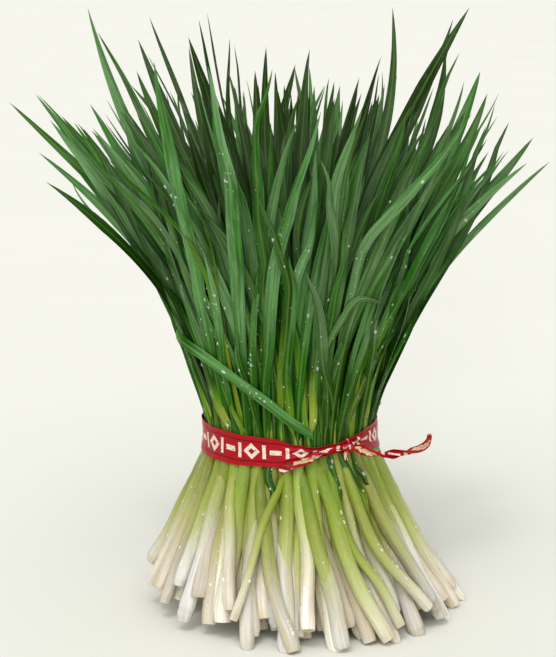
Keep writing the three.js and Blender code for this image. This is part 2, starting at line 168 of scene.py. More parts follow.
# %% The tallest tips
# where the longest blades end: x, y and z
TIPS = [
    (-155, -10, 274), (-132, 20, 263), (-121, -20, 265), (-141, -5, 247), (-135, -35, 236), (-129, 10, 243),
    (-119, 40, 267), (-110, -30, 263), (-102, -50, 280), (-104, 30, 276), (-116, 25, 320), (-111, -10, 311),
    (-108, 10, 309), (-88, -20, 308), (-88, 40, 295), (-84, -60, 294), (-83, 30, 315), (-79, 60, 272),
    (-74, 70, 279), (-62, -30, 304), (-63, 20, 305), (-56, 10, 315), (-53, -25, 321), (-45, 35, 303),
    (-42, -60, 295), (-37, 30, 300), (-22, -20, 303), (-38, 80, 269), (-17, 40, 285), (-15, -70, 287),
    (-8, 60, 271), (-1, -30, 281), (2, -50, 304), (13, 50, 279), (15, -80, 284), (44, 10, 321),
    (28, 70, 266), (37, -40, 300), (44, -80, 273),
    (59, 60, 274), (75, 15, 315), (71, 40, 298), (71, -40, 302), (82, -10, 322), (92, 30, 286),
    (75, -50, 288), (92, -10, 278), (102, 45, 274), (93, -35, 276), (72, -75, 273), (117, 0, 254),
    (124, -20, 244), (110, -45, 247), (104, 30, 238), (94, 50, 242), (89, -60, 249), (80, -70, 250),
]
print("long tips:", len(TIPS), "the highest at", max(z for x, y, z in TIPS))

# %% Plant the onions
# what a whole ring off, and a tip that an onion already has, count for in degrees of turn
RING_COST, TAKEN_COST = 40, 12
TIP_OUTWARD = 0.1  # tips end a little further out than their onions stand


def territory(clump, sector):
    """The part of the bunch that a clump keeps to: its rings and its sector."""
    first, last = clump["rings"][0], clump["rings"][-1]
    width = 360 / clump["sectors"]
    return {
        "low": 0 if first == 0 else (first - 0.5) * RING_STEP,
        "high": OPEN_RING if last == len(ONIONS_IN_RING) - 1 else (last + 0.5) * RING_STEP,
        "start": clump["start"] + width * sector,
        "width": width,
    }


def plant():
    """All the onions, each with its clump's territory and the long tips that it takes."""
    onions = []
    for name, clump in CLUMPS.items():
        for level in clump["rings"]:
            for i in range(ONIONS_IN_RING[level]):
                turn = clump["start"] + ((i + 0.5) * 360) / ONIONS_IN_RING[level]
                sector = int((turn - clump["start"]) // (360 / clump["sectors"]))
                onions.append({
                    "id": len(onions), "clump": name, "sector": sector, "ring": level * RING_STEP, "turn": turn,
                    "land": territory(clump, sector), "standing": level % 2 == 0 and i % 2 == 0, "tips": [],
                })
    for tip in TIPS:
        ring, turn, rise = locate(*tip)
        fits = [
            o
            for o in onions
            if len(o["tips"]) < LEAVES_EACH
            and o["land"]["low"] < ring < o["land"]["high"]
            and turn_from(turn, o["land"]["start"]) < o["land"]["start"] + o["land"]["width"]
        ]

        def mismatch(o):
            off = abs(turn_from(turn, o["turn"] - 180) - o["turn"])
            return off + RING_COST * abs(o["ring"] - ring - TIP_OUTWARD) + TAKEN_COST * len(o["tips"])

        near = min(fits, key=mismatch)
        near["tips"].append((ring, turn_from(turn, near["turn"] - 180), rise))
    return onions


onions = plant()
groups = []
for clump_name, clump in CLUMPS.items():
    for sector in range(clump["sectors"]):
        label = clump_name if clump["sectors"] == 1 else f"{clump_name}_{sector + 1:02d}"
        members = [o for o in onions if o["clump"] == clump_name and o["sector"] == sector]
        groups.append((label, territory(clump, sector), members))
print("onions planted:", len(onions), "in groups:", len(groups))

# %% [markdown]
# ## Paths and the skin over them
#
# A shoot or a blade is a *loft*: a small outline carried along a path. Blender could do it with a
# curve and a bevel object, but a curve can't change its outline from a round sheath to a flat blade.
# So the outline is laid out point by point along the path with numpy, and one helper skins it.
# The helper also writes two things for the materials: a UV map in millimetres (along, across), and
# a colour attribute called "growth" with ripeness in red, a shoot's own tone in green, darkened as
# painted shade on blades deep in the bunch, and cut or dry tissue in blue, which also carries painted
# shade on the shoots that stand further in.


# %% Paths with room and direction
def unit(vectors):
    """The same directions, each with a length of one."""
    return vectors / np.maximum(np.linalg.norm(vectors, axis=-1, keepdims=True), 1e-9)


def keep_inside(land, ring, turn, rise, room):
    """A ring and turn brought back inside the territory, with room for something this wide."""
    scale = WAIST_Y * growth(rise)
    low = np.where(land["low"] == 0, 0, land["low"] + room / scale)
    inside = np.clip(ring, low, land["high"] - room / scale)
    if land["width"] == 360:
        return inside, turn
    edge = np.degrees(room / (scale * inside))
    return inside, np.clip(turn, land["start"] + edge, land["start"] + land["width"] - edge)


def frames(points):
    """The directions along a path, out from the bunch and across, at each of its points."""
    along = unit(np.gradient(points, axis=0))
    out = np.stack([points[:, 0] - axis_x(points[:, 2]), points[:, 1], np.zeros(len(points))], -1)
    out[np.linalg.norm(out, axis=1) < 1e-3] = (0, -1, 0)
    out = unit(out - along * np.sum(out * along, axis=1, keepdims=True))
    return along, out, np.cross(along, out)


def shifted(points, direction, amount):
    """A path moved sideways, by another amount at each of its points."""
    return points + direction * amount[:, None]


def around(sides):
    """Even angles round a circle."""
    return np.linspace(0, 2 * np.pi, sides, endpoint=False)


def travelled(points):
    """The distance along a path at each of its points."""
    return np.concatenate([[0], np.cumsum(np.linalg.norm(np.diff(points, axis=0), axis=1))])


def smooth_curve(points, count):
    """A smooth curve through the points, evenly spaced: a centripetal Catmull-Rom spline."""
    points = np.asarray(points, float)
    ends = np.vstack([2 * points[0] - points[1], points, 2 * points[-1] - points[-2]])
    made = []
    for a, b, c, d in zip(ends[:-3], ends[1:-2], ends[2:-1], ends[3:]):
        k = [max(float(np.linalg.norm(q - p)) ** 0.5, 1e-4) for p, q in ((a, b), (b, c), (c, d))]
        leaving = ((b - a) / k[0] - (c - a) / (k[0] + k[1]) + (c - b) / k[1]) * k[1]
        arriving = ((c - b) / k[1] - (d - b) / (k[1] + k[2]) + (d - c) / k[2]) * k[1]
        for u in np.linspace(0, 1, 24, endpoint=False):
            start, end = 2 * u**3 - 3 * u**2 + 1, 3 * u**2 - 2 * u**3
            made.append(start * b + (u**3 - 2 * u**2 + u) * leaving + end * c + (u**3 - u**2) * arriving)
    made = np.array(made + [points[-1]])
    run = travelled(made)
    even = np.linspace(0, run[-1], count)
    return np.stack([np.interp(even, run, made[:, i]) for i in range(3)], -1)


print("round the bunch at the tape:", round(travelled(place(1, np.linspace(0, 360, 181), 0))[-1]), "mm")

# %% A skin that collects many lofts into one mesh
SHARP_ANGLE = 65  # edges that bend by more degrees stay crisp


class Skin:
    """Vertices, faces, UVs and growth values of many lofts, and places where water may sit on them."""

    def __init__(self):
        self.points, self.faces, self.uvs, self.growth = [], [], [], []
        self.count, self.wet_spots = 0, []

    def wrap(self, rings, along, turning, growth):
        """Adds rings (stations, sides, 3), joined by quads, and returns the number of the first point."""
        stations, sides = rings.shape[:2]
        base = self.count
        self.points.append(rings.reshape(-1, 3))
        self.growth.append(growth.reshape(-1, 3))
        self.count += stations * sides
        for i in range(stations - 1):
            for k in range(sides):
                a, b = base + i * sides + k, base + i * sides + (k + 1) % sides
                self.faces.append((a, b, b + sides, a + sides))
                self.uvs += [(along[i], turning[k]), (along[i], turning[k + 1])]
                self.uvs += [(along[i + 1], turning[k + 1]), (along[i + 1], turning[k])]
        return base

    def loft(self, rings, along, across, growth, tip=None, cap=False):
        """Adds rings with UV values along and across and growth (stations, 3), open or closed at the end."""
        stations, sides = rings.shape[:2]
        closing = across[0] if across[0] != 0 or across[-1] == 0 else 2 * across[-1] - across[-2]
        turning = np.append(across, closing)
        last = self.wrap(rings, along, turning, np.repeat(growth, sides, axis=0)) + (stations - 1) * sides
        if tip is not None:
            self.points.append(np.array([tip]))
            self.growth.append(self.growth[-1][-1:].copy())
            for k in range(sides):
                self.faces.append((last + k, last + (k + 1) % sides, self.count))
                self.uvs += [(along[-1], turning[k]), (along[-1], turning[k + 1]), (along[-1], 0)]
            self.count += 1
        if cap:
            self.faces.append(tuple(range(last, last + sides)))
            self.uvs += [(along[-1], 0)] * sides

    def build(self, name, material):
        """The mesh as a new object, in metres, with smooth faces."""
        mesh = bpy.data.meshes.new(name)
        mesh.from_pydata((np.concatenate(self.points) / 1000).tolist(), [], self.faces)
        uv = mesh.uv_layers.new(name="mm")
        uv.data.foreach_set("uv", np.array(self.uvs, np.float32).ravel())
        values = np.concatenate(self.growth)
        paint = mesh.color_attributes.new("growth", "FLOAT_COLOR", "POINT")
        paint.data.foreach_set("color", np.c_[values, np.ones(len(values))].astype(np.float32).ravel())
        mesh.polygons.foreach_set("use_smooth", [True] * len(mesh.polygons))
        mesh.set_sharp_from_angle(angle=math.radians(SHARP_ANGLE))
        mesh.materials.append(material)
        piece = bpy.data.objects.new(name, mesh)
        bpy.context.scene.collection.objects.link(piece)
        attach(piece, "root")
        return piece


print("sides that meet at more than", SHARP_ANGLE, "degrees make a crisp edge")

# %% [markdown]
# ## Materials: small helpers, real names
#
# Every finish below is a Principled shader with a few nodes in front of it. Colours are written as
# sRGB hex, the way one would pick them on a screen, and one function turns them to linear light.
# One helper adds a node with its settings, and another fills or links its inputs, so that each
# material reads like a short recipe. What is the same all over a surface is set on the shader itself.


# %% Colour and node helpers
def linear(code):
    """A colour written as sRGB hex, such as 2f6b26, in linear light."""
    parts = [int(code[i : i + 2], 16) / 255 for i in (0, 2, 4)]
    return tuple(c / 12.92 if c <= 0.04045 else ((c + 0.055) / 1.055) ** 2.4 for c in parts) + (1.0,)


def feed(tree, node, inputs):
    """Gives a node its inputs, by name or in order: each a value, a socket or another node's first output."""
    for key, value in inputs.items() if isinstance(inputs, dict) else enumerate(inputs):
        named = [socket for socket in node.inputs if socket.enabled and socket.name == key]
        socket = named[0] if named else node.inputs[key]
        if isinstance(value, bpy.types.Node):
            value = next(output for output in value.outputs if output.enabled)
        if isinstance(value, bpy.types.NodeSocket):
            tree.links.new(value, socket)
        else:
            socket.default_value = value


def add(tree, kind, inputs=(), **settings):
    """Adds a node with its settings and inputs."""
    node = tree.nodes.new("ShaderNode" + kind)
    for key, value in settings.items():
        setattr(node, key, value)
    feed(tree, node, inputs)
    return node


def finish_named(name):
    """A new material with an empty tree but for its Principled shader."""
    material = bpy.data.materials.new(name)
    material.use_nodes = True
    tree = material.node_tree
    return material, tree, tree.nodes["Principled BSDF"]


print("a leaf green in linear light:", [round(part, 3) for part in linear("2f6b26")[:3]])

# %% [markdown]
# ## Onion tissue
#
# The whole shoot is one living tube of leaf sheaths: white where soil shaded it, pale green above,
# and then the flat blades with a thin wax bloom, whose grey patches are partly a painted sheen of the
# cuticle. White tissue is full of water and passes light, so it gets subsurface scattering. The
# colour comes from one ramp over ripeness, so a shoot changes from white to deep green without a seam
# at the tie. Everything else runs along the veins: real ones are about 0.5 mm apart, and are drawn
# 0.9 mm apart here, because finer ones vanish. Near the foot the outermost sheath dries to tan skin.
# A rinsed bunch is wet in patches, and the film of water is a clear coat over the tissue, with a
# crinkle of its own that breaks up its shine.

# %% The ripening colours
RIPENESS = [
    (0.00, "e6e2d7"), (0.12, "d2ceb7"), (0.24, "b0b478"), (0.35, "98a250"), (0.45, "829230"),
    (0.55, "567c12"), (0.68, "1f4907"), (0.84, "265610"), (1.00, "3e6f2e"),
]


def ripening(tree, ripeness):
    """The colour for each ripeness, from the white foot (0) to the dark blade (1)."""
    ramp = add(tree, "ValToRGB", {"Fac": ripeness})
    while len(ramp.color_ramp.elements) < len(RIPENESS):
        ramp.color_ramp.elements.new(0.5)
    for element, (at, code) in zip(ramp.color_ramp.elements, RIPENESS):
        element.position, element.color = at, linear(code)
    return ramp


print("ripening colours:", len(RIPENESS))

# %% Where the tissue's patterns are read
VEIN_MM, STREAK_MM, WET_MM = 0.9, 1.3, 5.0
STREAK_LENGTH, PATCH_LENGTH, PATCH_WIDTH = 26, 80, 12


def tissue_places(tree):
    """The growth values, the place on the skin in millimetres, and the streaks and patches read there."""
    stored = add(tree, "Attribute", attribute_name="growth")
    growth_parts = add(tree, "SeparateColor", {"Color": stored.outputs["Color"]})
    ripe, tone, cut = growth_parts.outputs
    on_skin = add(tree, "UVMap", uv_map="mm")
    # each shoot reads the patterns at a place of its own, far from its neighbours'
    own_place = add(tree, "CombineXYZ", {"X": tone, "Y": tone, "Z": tone})
    own_shift = add(tree, "VectorMath", (own_place, (910, 370, 53)), operation="MULTIPLY")
    spot = add(tree, "VectorMath", (on_skin, own_shift), operation="ADD")
    streak = (1 / STREAK_LENGTH, 1 / STREAK_MM, 1)
    fine_spot = add(tree, "VectorMath", (spot, streak), operation="MULTIPLY")
    fine = add(tree, "TexNoise", {"Vector": fine_spot, "Scale": 1.0, "Detail": 3.0, "Roughness": 0.6})
    patch = (1 / PATCH_LENGTH, 1 / PATCH_WIDTH, 1)
    broad_spot = add(tree, "VectorMath", (spot, patch), operation="MULTIPLY")
    broad = add(tree, "TexNoise", {"Vector": broad_spot, "Scale": 1.0, "Detail": 2.0})
    across = add(tree, "SeparateXYZ", {"Vector": on_skin}).outputs["Y"]
    return {
        "ripe": ripe, "tone": tone, "cut": cut, "spot": spot, "across": across, "fine": fine, "broad": broad
    }


print("veins and streaks, mm across:", VEIN_MM, STREAK_MM)

# %% The colour of the tissue
WAX_BLOOM_AND_SHEEN, TAN_SKIN, MIDRIB, DRY_CUT = "72966b", "b09a62", "7fa24e", "b8955a"
MIDRIB_CORE, MIDRIB_EDGE = 0.2, 0.75  # where the midrib's line is full and where it ends, from the middle


def tissue_colour(tree, at, streaky, contrast, midrib, bloom, tan, lightness):
    """Streaked by the ripening colours, then given wax bloom and painted sheen, dried and lined; bloom, midrib
    and tan are shares.
    """
    # the ramp, a little riper along some veins than along others
    veined = {"From Min": 0.3, "From Max": 0.7, "To Min": -streaky, "To Max": streaky}
    riper = add(tree, "MapRange", {"Value": at["fine"], **veined})
    ripeness = add(tree, "Math", (at["ripe"], riper), operation="ADD")
    # each shoot is a little yellower or bluer, lighter or darker than its neighbour
    hue = add(tree, "MapRange", {"Value": at["tone"], "To Min": 0.478, "To Max": 0.506})
    own_light = add(tree, "MapRange", {"Value": at["tone"], "To Min": lightness[0], "To Max": lightness[1]})
    streaked = {"From Min": 0.33, "From Max": 0.67, "To Min": 1 - contrast, "To Max": 1 + contrast}
    streak_light = add(tree, "MapRange", {"Value": at["fine"], **streaked})
    light = add(tree, "Math", (own_light, streak_light), operation="MULTIPLY")
    # the wax bloom greys the ripest parts in broad patches, and these grey patches are partly painted sheen
    ripe_part = add(tree, "MapRange", {"Value": at["ripe"], "From Min": 0.8, "From Max": 1.0})
    patch = add(tree, "MapRange", {"Value": at["broad"], "From Min": 0.4, "From Max": 0.65, "To Max": bloom})
    bloom_and_sheen_share = add(tree, "Math", (ripe_part, patch), operation="MULTIPLY")
    grown = ripening(tree, ripeness)
    bloom_and_sheen_mixed = add(tree, "Mix", {"Factor": bloom_and_sheen_share, "A": grown, "B": linear(WAX_BLOOM_AND_SHEEN)}, data_type="RGBA")
    shown = add(tree, "HueSaturation", {"Color": bloom_and_sheen_mixed, "Hue": hue, "Value": light})
    # the outermost sheath dries to a thin tan skin in places, near the foot
    low_part = add(tree, "MapRange", {"Value": at["ripe"], "From Min": 0.3, "From Max": 0.05, "To Max": tan})
    tan_patch = add(tree, "MapRange", {"Value": at["broad"], "From Min": 0.48, "From Max": 0.66})
    tan_share = add(tree, "Math", (low_part, tan_patch), operation="MULTIPLY")
    # a paler line along the middle of a blade, where its folded halves meet
    from_middle = add(tree, "Math", (at["across"],), operation="ABSOLUTE")
    fading = {"From Min": MIDRIB_EDGE, "From Max": MIDRIB_CORE, "To Max": midrib}
    line = add(tree, "MapRange", {"Value": from_middle, **fading})
    # the dry share also carries the painted shade on the shoots that stand further in
    for share, code in ((tan_share, TAN_SKIN), (line, MIDRIB), (at["cut"], DRY_CUT)):
        shown = add(tree, "Mix", {"Factor": share, "A": shown, "B": linear(code)}, data_type="RGBA")
    return shown


print("the midrib's paler line, mm wide:", 2 * MIDRIB_EDGE)

# %% The relief of the tissue, and the water film on it
WET_ROUGHNESS = 0.16


def tissue_surface(tree, skin, at, wet, roughness, film_share, gloss):
    """Round veins, the streaks, and a clear coat of water where it is wet; wet is how much of it is."""
    wet_patch = (1 / (2.5 * WET_MM), 1 / WET_MM, 1)
    film_spot = add(tree, "VectorMath", (at["spot"], wet_patch), operation="MULTIPLY")
    wet_noise = add(tree, "TexNoise", {"Vector": film_spot, "Scale": 1.0, "Detail": 4.0, "Roughness": 0.65})
    shore = 0.62 - 0.2 * wet
    wetness = add(tree, "MapRange", {"Value": wet_noise, "From Min": shore, "From Max": 0.7 - 0.2 * wet})
    vein_angle = add(tree, "Math", (at["across"], 2 * math.pi / VEIN_MM), operation="MULTIPLY")
    veins = add(tree, "Math", (vein_angle,), operation="SINE")
    relief = add(tree, "Math", (veins, 0.18, at["fine"]), operation="MULTIPLY_ADD")
    crinkle_spot = add(tree, "VectorMath", (at["spot"], (1 / 2.2, 1 / 1.6, 1)), operation="MULTIPLY")
    crinkle = add(tree, "TexNoise", {"Vector": crinkle_spot, "Scale": 1.0, "Detail": 3.0})
    film = add(tree, "Math", (crinkle, wetness), operation="MULTIPLY")
    height = add(tree, "Math", (film, 0.9, relief), operation="MULTIPLY_ADD")
    bump = add(tree, "Bump", {"Height": height, "Strength": 0.7, "Distance": 0.0003})
    smoothed = min(roughness, WET_ROUGHNESS)
    rough = add(tree, "MapRange", {"Value": wetness, "To Min": roughness, "To Max": smoothed})
    film_weight = add(tree, "Math", (wetness, film_share, gloss), operation="MULTIPLY_ADD")
    film_bump = add(tree, "Bump", {"Height": film, "Strength": 1.0, "Distance": 0.0012})
    feed(tree, skin, {"Normal": bump, "Roughness": rough, "Coat Normal": film_bump, "Coat Weight": film_weight})


print("wet patches, mm wide:", WET_MM)


# %% Onion tissue
def onion_tissue(
    name, lightness, streaky=0.0, contrast=0.0, midrib=0.0, bloom=0.0, tan=0.0,
    wet=0.0, roughness=0.4, scatter=0.0, shine=0.5, film_share=0.0, gloss=0.0,
):
    """Living onion tissue: a thin cuticle over wet cells, streaked along its veins."""
    material, tree, skin = finish_named(name)
    at = tissue_places(tree)
    tissue_surface(tree, skin, at, wet, roughness, film_share, gloss)
    shown = tissue_colour(tree, at, streaky, contrast, midrib, bloom, tan, lightness)
    feed(tree, skin, {
        "Base Color": shown,
        # a cuticle bends light a little more than water does
        "IOR": 1.42, "Coat IOR": 1.42, "Coat Roughness": 0.08, "Specular IOR Level": shine,
        # light goes about 2 mm into white tissue, and its red part goes furthest
        "Subsurface Weight": scatter, "Subsurface Radius": (1.0, 0.8, 0.35), "Subsurface Scale": 0.002,
    })
    return material


# wet, smooth and translucent, with faint veins
sheath_tissue = onion_tissue(
    "onion_sheath_tissue", (0.78, 1.13), streaky=0.045, contrast=0.2, tan=0.45,
    wet=0.7, roughness=0.38, scatter=0.25, shine=0.15, film_share=0.7, gloss=0.3,
)
# with wax bloom that is partly painted sheen, streaked and opaque, with a midrib
blade_tissue = onion_tissue(
    "onion_blade_tissue", (0.33, 1.25), streaky=0.06, contrast=0.34, midrib=0.25, bloom=0.7,
    wet=0.4, roughness=0.5, shine=0.05, film_share=0.8, gloss=0.08,
)
print("onion tissues:", sheath_tissue.name, blade_tissue.name)

# %% [markdown]
# ## Where each blade goes
#
# The blades come before the shoots, because a shoot's sheath follows its own two blades for the
# first centimetres above the tie. A blade's path is one function of t, from its root (0) to its
# tip (1), in the bunch's own coordinates, so it can be read at any fineness.

# %% Sizes of a blade
SQUEEZE = 7.5  # half the height that the tape holds tight, which nothing sways in
LEAF_WIDTH, LEAF_WIDTH_SPREAD = 6.8, 1.2
LEAF_SWAY, LEAF_TWIST, SIDE_TWIST = 2, 35, 60  # all in degrees; the leaves at the sides turn edge on
RIGHT_BOW = 0.13  # the leaves on the right bow outwards by this share of the bunch
LEAF_LAYER = 0.05  # from one blade of an onion to the next, as a share of the waist
CROWN_RISE = 196  # how far the common blades reach above the tape
TIP_DRIFT, TIP_TILT = 9, 0.14  # how far their tips stray, in degrees and as a share of the bunch
OUTERMOST_TIP, SHORT_BLADES = 1.04, 0.1  # one blade in ten was nipped off shorter
print("blades, mm wide:", LEAF_WIDTH - LEAF_WIDTH_SPREAD, "to", LEAF_WIDTH + LEAF_WIDTH_SPREAD)


# %% The path and twist of a blade
def blade_of(onion, layer):
    """The blade's path from under the tie (0) to its tip (1), its width, and the way its face turns."""
    number, ring, turn, land = onion["id"], onion["ring"], onion["turn"], onion["land"]
    key = number + 1000 * (layer + 1)
    side = math.sin(math.radians(turn))
    hand = -1 if draw(number, 8) < 0.5 else 1
    face_turn = swing(number, 9) * LEAF_TWIST + hand * SIDE_TWIST * side**2
    offset = LEAF_LAYER * (layer - (LEAVES_EACH - 1) / 2)
    root_ring = abs(ring + offset * math.cos(math.radians(face_turn)))
    root_turn = turn - math.degrees(offset * math.sin(math.radians(face_turn)) / max(ring, RING_STEP))
    width = LEAF_WIDTH + swing(key, 2) * LEAF_WIDTH_SPREAD
    index = LEAVES_EACH - 1 - layer
    if 0 <= index < len(onion["tips"]):
        tip = onion["tips"][index]
    else:
        # partly with the whole onion and partly on its own
        stray_turn = swing(number, 4) * 0.6 + swing(key, 4) * 0.4
        stray_ring = swing(number, 5) * 0.6 + swing(key, 5) * 0.4
        short = 0.3 * draw(key, 7) if draw(key, 6) < SHORT_BLADES else 0
        tip_ring = min(OUTERMOST_TIP, root_ring + stray_ring * TIP_TILT)
        lean = (0.1 + 0.12 * side**2) * tip_ring**2
        reach = CROWN_RISE * (1 - lean) * (1 - 0.15 * draw(key, 7) ** 1.4 - short)
        tip = (tip_ring, root_turn + stray_turn * TIP_DRIFT / max(ring, 0.4), reach)
    root = SQUEEZE - 1.5

    def path(t):
        rise = root + (tip[2] - root) * t
        drift = np.maximum(t, 0) ** 1.5
        bow = RIGHT_BOW * max(0, side) * ring * np.sin(np.pi * t)
        sway = LEAF_SWAY * swing(key, 10) * np.sin(2 * np.pi * t) / max(ring, 0.4)
        spot = (root_ring + (tip[0] - root_ring) * drift + bow, root_turn + (tip[1] - root_turn) * drift + sway)
        room = np.where(t < 0.02, 0, np.minimum(0.6 * width, 1.5 + 14 * t))
        return place(*keep_inside(land, *spot, rise, room), rise)

    def twist(t):
        return np.radians(face_turn + swing(key, 3) * LEAF_TWIST * t)

    return path, width, twist, key


first_blade = blade_of(onions[0], 0)[0](np.linspace(0, 1, 30))
print("the middle onion's first blade, mm long:", round(travelled(first_blade)[-1]))

# %% [markdown]
# ## The shoots
#
# Each shoot is a tube of tight sheaths: about 6 mm thick where the tape squeezes it, 7 to 8 mm at the
# foot, and open a few centimetres above the tie, where its blades come out. It could be a bevelled
# curve, but the cut end needs its own rings of tissue and the top a taper between the blades, so the
# tube is lofted. A shoot that stands on the table is cut flat by it. On some shoots the outermost
# sheath has died back, and its upper edge runs aslant around the rest. Shoots further in are tinted
# brown low down, as painted shade for the gaps between them. Where water splashed, its drops stand
# in short rows along the veins.

# %% Sizes of a shoot
STEM_RADIUS_TIE, STEM_RADIUS_FOOT = 3.05, 3.85
STEM_TILT, STEM_DRIFT, STEM_SWAY = 0.09, 5, 2.5  # as a share of the bunch, and twice in degrees
LEFT_SHORT, LEFT_TILT = 10, 0.1  # the feet on the left end higher and stand further out
GAP = 0.3  # left free between two clumps
OPENING = (12, 42)  # how far above the middle of the tape a shoot opens: from this to this
print("a shoot, mm thick at the tape and at the foot:", 2 * STEM_RADIUS_TIE, 2 * STEM_RADIUS_FOOT)


# %% The path of a shoot
def shoot_path(onion, t):
    """Points of a shoot from under the tie (0) to its cut end (1)."""
    key, ring, turn, land = onion["id"], onion["ring"], onion["turn"], onion["land"]
    left = float(smooth(-math.sin(math.radians(turn)), 0.5, 1)) * (ring > 0.7)
    stray = 0 if ring == 0 else (draw(key, 1) - 0.4) * (1.6 if ring > 0.9 else 1) * STEM_TILT
    foot_ring = ring + stray + left * LEFT_TILT
    foot_turn = turn + swing(key, 2) * (STEM_DRIFT if ring > 0.5 else STEM_DRIFT / 2)
    lift = (-2 if onion["standing"] and not left else 13 * draw(key, 3) ** 1.3) + left * LEFT_SHORT
    top = 1 - SQUEEZE
    rise = top + (lift - TIE_HEIGHT - top) * t
    drift = np.maximum(t, 0) ** 1.4
    room = np.where(t <= 0, 0, STEM_RADIUS_FOOT + GAP / 2)
    sway = STEM_SWAY * swing(key, 6) * np.sin(np.pi * np.maximum(t, 0))
    drifted = (ring + (foot_ring - ring) * drift, turn + (foot_turn - turn) * drift + sway)
    return place(*keep_inside(land, *drifted, rise, room), rise)


def sheath_above(onion):
    """Points of the sheath above the tie, from where it opens down to the tie, between its two blades."""
    opening = OPENING[0] + (OPENING[1] - OPENING[0]) * draw(onion["id"], 41) ** 1.4
    rise = np.linspace(opening, SQUEEZE, 8)
    between = 0
    for layer in range(LEAVES_EACH):
        points = blade_of(onion, layer)[0](np.linspace(0, 0.5, 60))
        at_rise = [np.interp(rise, points[:, 2] - TIE_HEIGHT, points[:, i]) for i in range(3)]
        between = between + np.stack(at_rise, -1)
    return between / LEAVES_EACH


below_tape = travelled(shoot_path(onions[0], np.linspace(0, 1, 30)))[-1]
print("the middle shoot below the tape, mm long:", round(below_tape))

# %% An outer sheath that has died back
SHEATH_FILM = 0.22  # how far it stands off the shoot


def outer_sheath(skin, rings, circle, run, values, across, from_tie, key):
    """A sheath around the others that has died back: its upper edge runs aslant around the shoot."""
    sides = len(across)
    tie_run = np.interp(0, from_tie, run)
    reach = run[-1] - tie_run
    lean = (3 + 8 * draw(key, 49)) * np.cos(around(sides) - phase(key, 48))
    edge = tie_run + reach * (0.2 + 0.45 * draw(key, 45)) + lean
    share = np.concatenate([[0, 0.005, 0.04], np.linspace(0.12, 0.985, 11), [0.995]])
    thick = np.concatenate([[-0.12], np.full(13, SHEATH_FILM), [-0.1]])
    level = edge + (run[-1] - edge) * share[:, None]
    shell = np.empty((len(share), sides, 3))
    for k in range(sides):
        for axis in range(3):
            shell[:, k, axis] = np.interp(level[:, k], run, rings[:, k, axis])
            shell[:, k, axis] += thick * np.interp(level[:, k], run, circle[:, k, axis])
    middle = level.mean(axis=1)
    colours = np.stack([np.interp(middle, run, values[:, c]) for c in range(3)], -1)
    colours[:, 0] = np.maximum(colours[:, 0] - 0.05 - 0.07 * draw(key, 44), 0.02)
    colours[:2, 2] += 0.2
    shell[..., 2] = np.maximum(shell[..., 2], 0.0)
    skin.loft(shell, middle, across, colours)


print("an old sheath stands off its shoot by", SHEATH_FILM, "mm")

# %% The cut end of a shoot
# from the rim inwards: (share of the radius, mm out of the face) and how brown each sheath is
CUT_STEPS = [(0.93, -0.05), (0.84, 0.1), (0.74, -0.35), (0.6, -0.1), (0.5, -0.45), (0.3, -0.1), (0.08, -0.3)]
CUT_TINTS = (0.35, 0.12, 0.4, 0.08, 0.3, 0.1, 0.4)
CUT_RIPENESS, RIM_TINTS = 0.1, (0.45, 0.3)


def cut_across(rings, foot, rim, downwards, key):
    """Cuts the last ring a little aslant and returns the cut face, where the inner sheaths step in and out."""
    slant = (draw(key, 27) - 0.5) * np.cos(around(len(rim)))[:, None] * downwards
    face = np.stack([foot + downwards * push + rim * scale for scale, push in CUT_STEPS])
    face += slant[None] * np.array([scale for scale, _ in CUT_STEPS])[:, None, None]
    rings[-1] += slant
    for made in (rings, face):
        made[..., 2] = np.maximum(made[..., 2], 0)
    return face


print("rings of tissue in a cut:", len(CUT_STEPS))

# %% The colours of a shoot
DARK_ABOVE, OLD_SHEATHS = 0.7, 0.45  # how many are dark right above the tape, and keep a dried sheath


def shoot_values(u, from_tie, key, greener, painted_gap_shade):
    """Its ripeness, tone, and dryness with soil and painted shade, from the dark top (u below 0) to the pale
    foot (1).
    """
    pale_from = 0.3 * draw(key, 26) - 0.12 + 0.25 * greener
    pale_to = 0.85 + 0.35 * draw(key, 28) + 0.2 * greener
    ripe = 0.48 + 0.06 * greener - 0.46 * smooth(u, pale_from, pale_to)
    # above the tape most sheaths are as dark as the blades, and some stay pale for a few centimetres
    dark = draw(key, 30) < DARK_ABOVE
    ripe = ripe + (0.24 * smooth(-from_tie, -8, 9) if dark else 0.14 * smooth(-from_tie, 8, 34) - 0.05)
    soil_and_painted_shade = 0.35 * smooth(u, 0.9, 1.0) * draw(key, 29) ** 2
    # painted shade: shoots further in are tinted brown low down, where the gaps between the shoots lie in shadow
    soil_and_painted_shade = soil_and_painted_shade + painted_gap_shade * (0.4 + 0.6 * draw(key, 35)) * smooth(u, 0.25, 0.75)
    return np.stack([ripe, np.full_like(ripe, draw(key, 25)), soil_and_painted_shade], -1)


print("share of shoots that are dark above the tape:", DARK_ABOVE)

# %% Where drops may sit on a shoot
SPLASHED_SHOOTS = 0.35  # how many were splashed
ROWS, ROW_DROPS, FEW_DROPS = 3, 9, 6


def wet_places(skin, rings, circle, along, values, key):
    """Where drops may sit: in short rows on a splashed shoot, and here and there on any other."""
    splashed = draw(key, 46) < SPLASHED_SHOOTS
    last, sides = len(rings) - 2, rings.shape[1]
    for use in range(ROWS * ROW_DROPS if splashed else FEW_DROPS):
        row = 200 + use // ROW_DROPS if splashed else 300 + use
        station = last * (0.35 + 0.6 * draw(key, row)) + splashed * 5 * (draw(key, 400 + use) - 0.5)
        station = min(max(station, 0), last)
        i, k = int(station), int(round(sides * (draw(key, row + 20) - 0.5) / 3))
        spot = rings[i, k] + (rings[i + 1, k] - rings[i, k]) * (station - i)
        skin.wet_spots.append((spot, circle[i, k], along[i], values[i]))


print("places for drops on a splashed shoot:", ROWS * ROW_DROPS)


